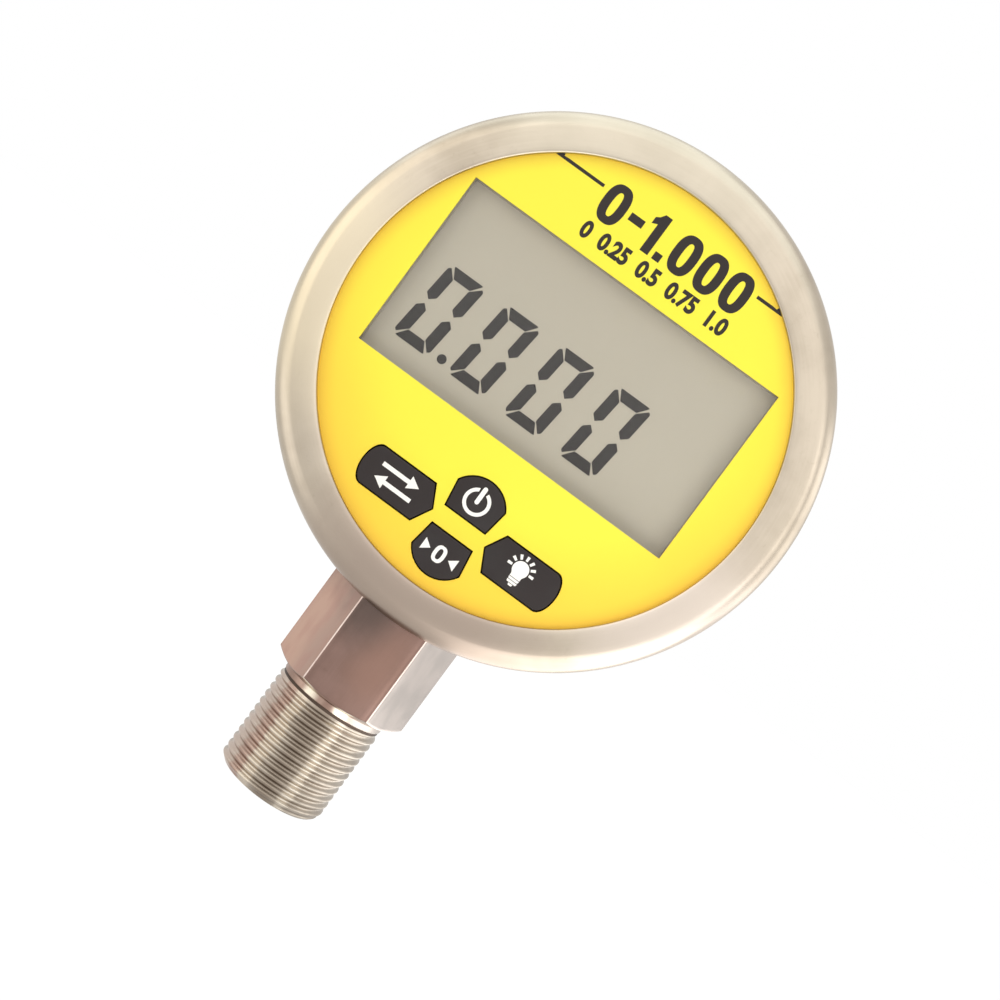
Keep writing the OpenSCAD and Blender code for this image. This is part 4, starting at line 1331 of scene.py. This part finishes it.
@dataclass
class FacePrint:
    """Black print on the yellow film: two flank lines and rows of plain figures."""

    film: float = -15.0
    line_z: float = 30.7
    line_t: float = 0.55
    line_ends: Spot = (12.75, 16.95)
    rim: float = 37.65
    left: float = -11.8
    right: float = 16.1
    big: float = 29.3
    size: Spot = (4.3, 6.85)
    stroke: float = 1.5
    flat: float = 0.9
    gap: float = 0.65
    dash: Spot = (0.8, 2.6)
    one_gap: float = 4.3
    dot_gap: float = 3.3
    one_foot: float = 0.85
    flag: tuple[Spot, ...] = ((1.1, 0.0), (0.55, -0.8), (-0.1, -1.2), (-0.1, -2.35),
                              (0.85, -1.95))
    small: Spot = (22.05, 25.1)
    bold: float = 0.045
    hook: tuple[float, ...] = (0, 0.9, 1.8, 2.6)
    hook_end: float = 2.4
    hook_t: Spot = (0.5, 0.9)

    def flank(self, side: int, inner: float) -> list[Spot]:
        """Gives a flank line's outline with its short hook along the rim.

        Args:
            side: -1 for the left line and 1 for the right one.
            inner: distance of its inner end from the middle.

        Returns:
            The outline.
        """
        low, high = self.line_z - self.line_t / 2, self.line_z + self.line_t / 2
        turn = math.degrees(math.asin(low / self.rim))
        hook = [polar(self.rim, turn + a) for a in self.hook]
        back = [polar(self.rim - self.hook_t[0], turn + self.hook_end),
                (math.sqrt((self.rim - self.hook_t[1]) ** 2 - high ** 2), high)]
        return moved([*hook, *back, (inner, high), (inner, low)], (0, 0), side)

    def build(self) -> list[Object]:
        """Builds the print, which lies on the film."""
        depth, shape = printed(self.film), Shape()
        for side, inner in zip((-1, 1), self.line_ends):
            shape.prism(self.flank(side, inner), depth)
        (w, h), t = self.size, self.stroke
        for x in (self.left + w / 2, *(self.right - w / 2 - k * (w + self.gap) for k in range(3))):
            nought(shape, (x, self.big), self.size, t, depth)
        low, high = self.big - h / 2, self.big + h / 2
        dash = self.left + w + self.dash[0]
        dot = self.right - 3 * w - self.dot_gap
        half = self.flat * t / 2
        for x0, x1, z0, z1 in ((dash, dash + self.dash[1], self.big - half, self.big + half),
                               (dot, dot + 2 * half, low, low + 2 * half)):
            shape.prism([(x0, z0), (x1, z0), (x1, z1), (x0, z1)], depth)
        foot = self.one_foot
        one = [(foot, -h), (foot + t, -h), (foot + t, 0), *self.flag]
        shape.prism(moved(one, (self.left + w + self.one_gap, high)), depth)
        box = (self.left, self.small[0], self.right, self.small[1])
        shape.copy_in(text_mesh("scale", "0  0.25  0.5  0.75  1.0", box, depth, self.bold))
        return [seat(shape.piece("face_print", [BLACK_PRINT]), BODY, "overlay_film")]


@dataclass
class Digits:
    """Figures of the display: four seven-segment zeros and a decimal point."""

    front: float = -12.5
    ink: float = 0.03
    height: float = 14.4
    width: float = 7.0
    stroke: float = 1.95
    gap: float = 0.23
    point: float = 0.42
    cut: float = 0.5
    lean: float = 0.102
    first: Spot = (-22.6, -0.25)
    pitch: float = 11.0
    count: int = 4
    dot_d: float = 1.6
    dot_at: Spot = (-17.62, -6.3)

    def segments(self) -> list[list[Spot]]:
        """Gives the outlines of a zero's six segments about its centre, upright."""
        w, h, t, g, c = self.width / 2, self.height / 2, self.stroke, self.gap, self.cut
        top = [(-w + c + g, h - 0.12), (-w + c + g + 0.15, h), (w - c - g - 0.15, h),
               (w - c - g, h - 0.12), (w - t + 0.05, h - t + 0.1), (-w + t - 0.05, h - t + 0.1)]
        upper = [(-w + c - 0.06, h - c - 0.05), (-w + 0.05, h - c - 0.35), (-w, h - c - 0.6),
                 (-w, self.point + 0.46 * t), (-w + t / 2, self.point),
                 (-w + t, self.point + 0.44 * t), (-w + t, h - t - 0.12)]
        mirrored = moved(reversed(upper), (0, 0), -1)
        return [side for part in (top, upper, mirrored)
                for side in (part, [(-x, -z) for x, z in part])]

    def build(self) -> list[Object]:
        """Builds the figures, which lie on the display glass."""
        depth, one = printed(self.front, self.ink), Shape()
        for outline in self.segments():
            one.prism(moved([(x + self.lean * z, z) for x, z in outline], self.first), depth)
        row = in_row(one.mesh("zero", [LIQUID_BLACK]), LIQUID_BLACK, self.count, self.pitch)
        dot = [polar(self.dot_d / 2, a, self.dot_at) for a in range(0, 360, 10)]
        piece = Shape().copy_in(row).prism(dot, depth).piece("display_figures", [LIQUID_BLACK])
        return [seat(piece, BODY, "display_glass")]


class Mark(Enum):
    """The white mark on a key."""

    SWAP = "two arrows"
    POWER = "broken ring with a bar"
    BULB = "light bulb with rays"
    ZERO = "nought between two triangles"


@dataclass(frozen=True)
class KeySpot:
    """One key: its node's first word, place, whether it is upside down, its form, its mark and
    how far that stands off its middle."""

    name: str
    at: Spot
    turned: bool
    domed: bool
    mark: Mark
    off: Spot


@dataclass
class Keys:
    """Four black keys in the film, each with a white mark."""

    cap: float = -15.25
    plate_back: float = -12.5
    flange_back: float = -11.7
    post_back: float = -10.85
    side: Spot = (13.5, 6.903)
    dome: Spot = (9.0, 7.002)
    flange: float = 0.702
    post_d: float = 3.2
    edge: float = 0.14
    tip: float = 0.14
    foot: float = 0.425
    shoulder: float = 0.123
    arrow: tuple[Spot, ...] = ((-3.5, 0.36), (1.6, 0.36), (1.6, 1.15), (3.5, 0), (1.6, -1.15),
                               (1.6, -0.36), (-3.5, -0.36))
    arrow_gap: float = 1.2
    ring: Spot = (2.3, 1.7)
    bar_r: float = 0.38
    bar_ends: Spot = (2.42, 0.02)
    bulb_r: float = 1.4
    bulb_neck: tuple[Spot, ...] = ((-0.94, -1.2), (-0.94, -1.62), (0.94, -1.62), (0.94, -1.2))
    bulb_rings: tuple[Spot, ...] = ((0.96, 0.4), (0.92, 0.4), (0.42, 0.34))
    bulb_foot: float = -1.72
    bulb_step: float = 0.5
    ray: tuple[Spot, ...] = ((-2.45, -0.24), (-1.62, -0.2), (-1.62, 0.2), (-2.45, 0.24))
    zero: Spot = (2.1, 2.9)
    zero_t: float = 0.62
    wedge: tuple[Spot, ...] = ((1.75, 0.0), (3.2, 1.05), (3.2, -1.05))
    spots: tuple[KeySpot, ...] = (
        KeySpot("mode", (-11.295, -26.298), False, False, Mark.SWAP, (-0.2, 0.0)),
        KeySpot("power", (0.702, -20.952), False, True, Mark.POWER, (-0.1, -0.35)),
        KeySpot("light", (12.699, -26.298), True, False, Mark.BULB, (-0.2, 0.5)),
        KeySpot("tare", (0.702, -31.644), True, True, Mark.ZERO, (0.0, 0.2)))

    def outline(self, spot: KeySpot, grow: float) -> list[Spot]:
        """Gives a key's outline on the dial, grown on every side."""
        w, h = (v + 2 * grow for v in (self.dome if spot.domed else self.side))
        if spot.domed:
            rise = (0.5 - self.shoulder) * h
            r = (w * w / 4 + rise * rise) / (2 * rise)
            half = math.degrees(math.asin(w / 2 / r))
            arc = [polar(r, 90 - half + 2 * half * i / 28, (0, h / 2 - r)) for i in range(29)]
            plain = [(-self.foot * w, -h / 2), (self.foot * w, -h / 2), *arc]
        else:
            e = self.tip * w
            end = [(e - w / 2 + e * math.cos(math.radians(a)), h / 2 * math.sin(math.radians(a)))
                   for a in range(90, 271, 6)]
            plain = [(w / 2, 0), (w / 2 - e, h / 2), *end, (w / 2 - e, -h / 2)]
        sign = -1 if spot.turned else 1
        return moved([(sign * x, sign * z) for x, z in plain], spot.at)

    def marks(self, spot: KeySpot) -> Shape:
        """Makes the white mark of a key, on its cap."""
        depth, shape = printed(self.cap), Shape()
        mid = (spot.at[0] + spot.off[0], spot.at[1] + spot.off[1])
        if spot.mark is Mark.SWAP:
            for way in (1, -1):
                shape.prism(moved(self.arrow, (mid[0], mid[1] + way * self.arrow_gap), way), depth)
        elif spot.mark is Mark.POWER:
            outer, inner = self.ring
            broken = [polar(outer, a, mid) for a in range(110, 431, 6)]
            broken += [polar(inner, a, mid) for a in range(427, 109, -6)]
            bar = [polar(self.bar_r, turn + a, (mid[0], mid[1] + end))
                   for turn, end in zip((0, 180), self.bar_ends) for a in range(0, 181, 30)]
            shape.prism(broken, depth).prism(bar, depth)
        elif spot.mark is Mark.BULB:
            glass = [polar(self.bulb_r, a) for a in range(-44, 225, 8)]
            shape.prism(moved([*glass, *self.bulb_neck], mid), depth)
            for k, (half, t) in enumerate(self.bulb_rings):
                z = self.bulb_foot - self.bulb_step * k
                shape.prism(moved([(-half, z), (half, z), (half - 0.1, z - t),
                                   (0.1 - half, z - t)], mid), depth)
            ray = Shape().prism(moved(self.ray, mid), depth).mesh("ray", [WHITE_PRINT])
            shape.copy_in(in_round(ray, WHITE_PRINT, 7, 30.0, mid))
        else:
            nought(shape, mid, self.zero, self.zero_t, depth)
            for way in (-1, 1):
                shape.prism(moved(self.wedge, mid, way), depth)
        return shape

    def build(self) -> list[Object]:
        """Builds the keys and their marks, each on its own body."""
        made = []
        for spot in self.spots:
            cap = Shape().prism(self.outline(spot, 0), (self.cap, self.plate_back))
            key = soften(cap.piece(f"{spot.name}_key_cap", [KEY_BLACK], 20.0), self.edge, 3)
            stack = Shape().copy_in(key.data)
            bpy.data.objects.remove(key)
            stack.prism(self.outline(spot, self.flange), (self.plate_back, self.flange_back))
            stack.prism([polar(self.post_d / 2, a, spot.at) for a in range(0, 360, 10)],
                        (self.flange_back, self.post_back))
            whole = stack.piece(f"{spot.name}_key_piece", [KEY_BLACK], 40.0)
            mark = self.marks(spot).piece(f"{spot.name}_key_mark", [WHITE_PRINT])
            body = f"{spot.name}_button"
            made += [seat(whole, body, "key_plastic", f"{spot.name}_key"),
                     seat(mark, body, "key_plastic")]
        return made


@dataclass(frozen=True)
class ScrewSize:
    """Sizes of a screw: its head's and its shank's diameter and length."""

    head_d: float
    head_l: float
    shank_d: float
    shank_l: float


@dataclass
class Screws:
    """Domed screws with a cross recess, repeated by Geometry Nodes. The thread's root and the tip
    are shares of the shank's radius; the rim and the recess are shares of the head."""

    cover_size: ScrewSize = ScrewSize(5.6, 1.7, 3.0, 6.0)
    cover_seat: float = 20.15
    cover_at: float = 38.2
    tray_size: ScrewSize = ScrewSize(4.0, 1.4, 2.4, 5.0)
    tray_seat: float = 5.05
    tray_at: tuple[Spot, ...] = ((24.003, 27.0), (27.396, -23.652))
    pitch: float = 0.5
    root: float = 0.86
    crest: float = 0.22
    plain: float = 0.3
    tip: float = 0.7
    rim: float = 0.35
    brim: Spot = (0.97, 0.1)
    slot: Spot = (0.09, 0.3)
    slot_deep: float = 0.6
    sharp: float = 35.0

    def one(self, at: Spot, seated: float, size: ScrewSize) -> Mesh:
        """Makes one screw with its head to the back.

        Args:
            at: its place on the dial.
            seated: depth of the head's underside.
            size: its sizes.

        Returns:
            The screw's mesh.
        """
        hr, sr, tip = size.head_d / 2, size.shank_d / 2, seated - size.shank_l
        top = seated + size.head_l
        dome = [(hr * math.cos(a), top - size.head_l * (1 - self.rim) * (1 - math.sin(a)))
                for a in (math.radians(v) for v in range(0, 90, 10))]
        count = int(size.shank_l / self.pitch)
        turns = [seated - self.plain - (size.shank_l - 2 * self.plain) * k / count
                 for k in range(count)]
        thread = [spot for y in turns for spot in ((sr * self.root, y), (sr, y - self.crest))]
        profile = [(AXIS, tip), (sr * self.tip, tip), *reversed(thread), (sr, seated),
                   (hr * self.brim[0], seated), (hr, seated + self.brim[1]), *dome, (AXIS, top)]
        body = Shape().capped([dial_ring(r, y, 40, at) for r, y in profile])
        screw = body.piece("screw blank", [SCREW_STEEL], self.sharp)
        w, reach = (size.head_d * share for share in self.slot)
        arm = [(-w, -reach), (w, -reach), (w, -w)]
        cross = [spot for x, z in ((1, 0), (0, 1), (-1, 0), (0, -1))
                 for spot in [(x * a - z * b, z * a + x * b) for a, b in arm]]
        recess = (top - size.head_l * self.slot_deep, top + 1)
        tool = Shape().prism(moved(cross, at), recess).piece("tool", [SCREW_STEEL])
        cut = screw.modifiers.new("recess", "BOOLEAN")
        cut.operation, cut.object, cut.solver = "DIFFERENCE", tool, "EXACT"
        mesh = settle(screw).data
        for used in (screw, tool):
            bpy.data.objects.remove(used)
        return mesh

    def build(self) -> list[Object]:
        """Builds the cover's and the tray's screws, which stand for their CAD nodes."""
        one = self.one(polar(self.cover_at, 45), self.cover_seat, self.cover_size)
        cover = link("cover_screw_set", in_round(one, SCREW_STEEL, 4, 90.0))
        shape = Shape()
        for x, z in self.tray_at:
            one = self.one((-x, z), self.tray_seat, self.tray_size)
            shape.copy_in(in_row(one, SCREW_STEEL, 2, 2 * x))
        tray = shape.piece("tray_screw_set", [SCREW_STEEL], self.sharp)
        for piece in (cover, tray):
            tidy_mesh(piece.data, self.sharp)
        return [seat(cover, "cover", "screw_steel", "cover_screws"),
                seat(tray, BODY, "screw_steel", "tray_screws")]


@dataclass
class Battery:
    """Three cells with crimped ends and the coil springs behind them."""

    cell_d: float = 10.5
    cell_l: float = 43.6
    nub_d: float = 3.8
    nub_l: float = 0.9
    nub_gap: float = 0.55
    centre_y: float = 10.55
    foot_x: float = 20.65
    spring_foot: float = 24.0
    spring_tip: float = 20.8
    spring_d: float = 7.0
    spring_tip_d: float = 4.4
    spring_turns: float = 4.5
    wire: float = 0.6
    steps: int = 56

    def cell(self, row: int) -> tuple[list[list[Place]], list[int]]:
        """Gives the rings of a cell and the number of the finish behind each.

        Args:
            row: -1, 0 or 1 from the lowest to the highest; the middle one is turned round.

        Returns:
            The rings and the numbers.
        """
        r, n, length = self.cell_d / 2, self.nub_d / 2, self.cell_l
        profile = [(AXIS, 0, 1), (r - 1.5, 0, 1), (r - 1.3, 0.15, 1), (r - 0.9, 0.15, 0),
                   (r - 0.3, 0, 0), (r, 0.3, 0), (r, length - 0.3, 0), (r - 0.25, length, 0),
                   (r - 0.8, length - 0.05, 1), (r - 1.0, length - 0.25, 1),
                   (n + 0.4, length - 0.25, 1), (n + 0.15, length - 0.1, 1),
                   (n, length + self.nub_l - 0.25, 1), (n - 0.25, length + self.nub_l, 1),
                   (AXIS, length + self.nub_l, 1)]
        sign, start = (-1 if row == 0 else 1), self.foot_x + self.nub_l + self.nub_gap
        z = DIAL_Z + CELL_Z + row * CELL_PITCH
        rings = [[(sign * (x - start), self.centre_y + q * math.cos(a), z + q * math.sin(a))
                  for a in around(self.steps)] for q, x, _ in profile]
        return rings, [mark for _, _, mark in profile]

    def spring_mesh(self) -> Mesh:
        """Makes one conical coil spring along z from its foot at the origin."""
        coil = Pattern("coil spring", {
            "Turns": self.spring_turns, "Foot radius": (self.spring_d - self.wire) / 2 * MM,
            "Tip radius": (self.spring_tip_d - self.wire) / 2 * MM,
            "Height": (self.spring_foot - self.spring_tip - self.wire) * MM,
            "Wire radius": self.wire / 2 * MM})
        _, turns, foot, tip, height, thick = coil.given
        path = coil.net.node("GeometryNodeCurveSpiral", None, {
            "Resolution": 32, "Rotations": turns, "Start Radius": foot, "End Radius": tip,
            "Height": height})
        wire = coil.net.node("GeometryNodeCurvePrimitiveCircle", None,
                             {"Resolution": 10, "Radius": thick})
        tube = coil.net.node("GeometryNodeCurveToMesh", None,
                             {"Curve": path, "Profile Curve": wire, "Fill Caps": True})
        return coil.run(tube, bpy.data.meshes.new("spring seed"), NICKEL)

    def build(self) -> list[Object]:
        """Builds the cells and the springs, which stand for their CAD nodes."""
        cells, springs, coil = Shape(), Shape(), self.spring_mesh()
        for row in (-1, 0, 1):
            cells.capped(*self.cell(row))
            sign = 1 if row == 0 else -1
            foot = Vector((sign * (self.spring_foot - self.wire / 2), self.centre_y,
                           DIAL_Z + CELL_Z + row * CELL_PITCH))
            placed = coil.copy()
            placed.transform(Matrix.Translation(foot * MM)
                             @ Matrix.Rotation(-sign * math.pi / 2, 4, "Y"))
            springs.copy_in(placed)
        return [seat(cells.piece("cell_set", [CELL_JACKET, NICKEL], 40.0), BODY, "cell_jacket",
                     "battery_cells"),
                seat(springs.piece("spring_set", [NICKEL], 50.0), BODY, "contact_metal",
                     "contact_springs")]


@dataclass
class Housing:
    """Parts that keep their CAD shape, with smooth skins and softened edges: name, node, slot,
    finish, width of the softened edges and body of each."""

    parts: tuple[tuple[str, str, str, Finish, float, str], ...] = (
        ("case_drum", "case_shell", "case_steel", CASE_STEEL, 0.15, BODY),
        ("cover_plate", "rear_cover", "case_steel", COVER_STEEL, 0.2, "cover"),
        ("lock_nut", "stem_lock_nut", "screw_steel", SCREW_STEEL, 0.15, BODY),
        ("tray_moulding", "battery_tray", "black_plastic", BLACK_PLASTIC, 0.15, BODY),
        ("plate_moulding", "front_plate", "black_plastic", PLATE_PLASTIC, 0.0, BODY),
        ("spacer_set", "board_spacers", "spacer_brass", BRASS, 0.12, BODY),
        ("retaining_ring", "sensor_retainer", "sensor_steel", SENSOR_STEEL, 0.12, BODY),
        ("sensor_cell", "pressure_sensor", "sensor_steel", SENSOR_STEEL, 0.15, BODY),
        ("gasket_ring", "rear_gasket", "seal_rubber", SEAL_BLACK, 0.0, BODY),
        ("battery_lead_pair", "battery_leads", "lead_insulation", BATTERY_LEADS, 0.0, BODY),
        ("sensor_lead_set", "sensor_leads", "lead_insulation", SENSOR_LEADS, 0.0, BODY))

    def build(self) -> list[Object]:
        """Builds the smooth copies, which stand for their CAD nodes."""
        return [seat(refine(name, node, finish, width), body, slot, node)
                for name, node, slot, finish, width, body in self.parts]


@dataclass(frozen=True)
class Lamp:
    """Soft area lamp that looks at the dial: its direction there as the camera sees it, in degrees
    from the right, its angle from the camera, its distance, width and height, the brightness of
    its face beside white, which is 1, and its colour."""

    name: str
    way: float
    off: float
    far: float
    size: Spot
    radiance: float
    colour: RGB = (255, 255, 255)


@dataclass
class Studio:
    """Camera at the photograph's angle, pale floor, soft lamps and white surroundings."""

    eye: Place = (10.517, -228.976, 67.741)
    turn: Place = (88.3093, -36.3447, 2.9206)
    focal_px: float = 1355.903
    clip: Spot = (0.005, 20.0)
    image_px: float = 1000.0
    sensor_mm: float = 36.0
    floor_z: float = -0.02
    floor_half: float = 1500.0
    floor_share: float = 0.82
    floor_glow: float = 1.16
    fill: float = 0.34
    lamps: tuple[Lamp, ...] = (
        Lamp("front softbox", 55, 22, 300, (400, 260), 0.73),
        Lamp("upper left softbox", 138, 60, 320, (360, 300), 1.0, (255, 251, 240)),
        Lamp("upper right softbox", 62, 66, 320, (400, 260), 0.95, (240, 250, 252)),
        Lamp("low front lamp", 302, 25, 300, (150, 110), 0.4),
        Lamp("right strip", 324, 47, 300, (300, 90), 1.7),
        Lamp("right lamp", 330, 95, 320, (300, 260), 1.3),
        Lamp("back lamp", 90, 102, 330, (460, 180), 1.0, (238, 250, 252)))
    cards: tuple[tuple[str, Spot, Spot, float], ...] = (
        ("right card", (125, -60), (210, 190), 2.0), ("left card", (-115, -80), (110, 110), 0.9))
    card_z: float = 0.4

    def aim(self) -> Euler:
        """Gives the camera's turn in radians."""
        return Euler([math.radians(v) for v in self.turn], "XYZ")

    def camera(self) -> None:
        """Makes the camera from its place, turn and focal length."""
        data = bpy.data.cameras.new("photo camera")
        data.sensor_width = self.sensor_mm
        data.lens = self.sensor_mm * self.focal_px / self.image_px
        data.clip_start, data.clip_end = self.clip
        made = link("photo camera", data)
        made.location = Vector(self.eye) * MM
        made.rotation_euler = self.aim()
        bpy.context.scene.camera = made

    def lamp(self, lamp: Lamp) -> Object:
        """Makes a lamp."""
        turn = self.aim().to_matrix() @ (Matrix.Rotation(math.radians(lamp.way - 90), 3, "Z")
                                         @ Matrix.Rotation(math.radians(-lamp.off), 3, "X"))
        data = bpy.data.lights.new(lamp.name, "AREA")
        data.shape, data.size, data.size_y = "RECTANGLE", lamp.size[0] * MM, lamp.size[1] * MM
        data.energy = lamp.radiance * math.pi * data.size * data.size_y
        data.color = linear(lamp.colour)[:3]
        made = link(lamp.name, data)
        made.location = (Vector((0, 0, DIAL_Z)) + turn @ Vector((0, 0, lamp.far))) * MM
        made.rotation_euler = turn.to_euler()
        made.visible_camera = False
        return made

    def card(self, name: str, at: Spot, size: Spot, radiance: float) -> None:
        """Makes a light card that lies on the floor and shines upwards.

        Args:
            name: its name.
            at: x and y of its centre.
            size: its width and depth.
            radiance: brightness of its face beside white, which is 1.
        """
        made = self.lamp(Lamp(name, 0, 0, 100, size, radiance))
        made.location = Vector((*at, self.card_z)) * MM
        made.rotation_euler = (math.pi, 0, 0)

    def seen_white(self, net: Net) -> Sock:
        """Gives 1 for rays from the camera, from gloss and through clear pieces."""
        rays = net.node("ShaderNodeLightPath", out="Is Camera Ray")
        return rays.high(rays.other("Is Glossy Ray")).high(rays.other("Is Transmission Ray"))

    def floor(self) -> None:
        """Makes the pale floor, white to the camera but for the object's shadow."""
        half, grey = self.floor_half, self.floor_share
        mesh = bpy.data.meshes.new("floor")
        mesh.from_pydata([Vector((x * half, y * half, self.floor_z)) * MM
                          for x, y in ((-1, -1), (1, -1), (1, 1), (-1, 1))], [], [(0, 1, 2, 3)])
        material = bpy.data.materials.new("pale floor")
        net = Net.fresh(material)
        paint = net.node("ShaderNodeBsdfDiffuse", None, {"Color": (grey, grey, grey, 1.0)})
        glow = net.node("ShaderNodeEmission", None,
                        {"Color": (1.0, 1.0, 1.0, 1.0), "Strength": self.floor_glow})
        shown = net.node("ShaderNodeMixShader", None,
                         {0: self.seen_white(net) * self.floor_share, 1: paint, 2: glow})
        net.node("ShaderNodeOutputMaterial", None, {"Surface": shown})
        mesh.materials.append(material)
        link("floor", mesh)

    def surroundings(self) -> None:
        """Makes the world: plain soft light that is white where it is seen."""
        world = bpy.data.worlds.new("white room")
        bpy.context.scene.world = world
        net = Net.fresh(world)
        level = self.seen_white(net) * (1 - self.fill) + self.fill
        room = net.node("ShaderNodeBackground", None,
                        {"Color": (1.0, 1.0, 1.0, 1.0), "Strength": level})
        net.node("ShaderNodeOutputWorld", None, {"Surface": room})

    def build(self) -> None:
        """Makes the whole studio."""
        self.camera()
        self.floor()
        self.surroundings()
        for lamp in self.lamps:
            self.lamp(lamp)
        for card in self.cards:
            self.card(*card)
        bpy.context.scene.view_settings.view_transform = "Standard"


def main() -> None:
    """Builds the gauge's pieces in order."""
    logging.basicConfig(level=logging.INFO, format="%(name)s: %(message)s")
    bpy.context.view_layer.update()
    dress_nodes()
    for maker in (Stem(), Bezel(), FacePrint(), Digits(), Keys(), Screws(), Battery(), Housing()):
        for piece in maker.build():
            LOG.info("%s: %d faces", piece.name, len(piece.data.polygons))
    Studio().build()
    bpy.context.view_layer.update()


if __name__ == "__main__":
    main()
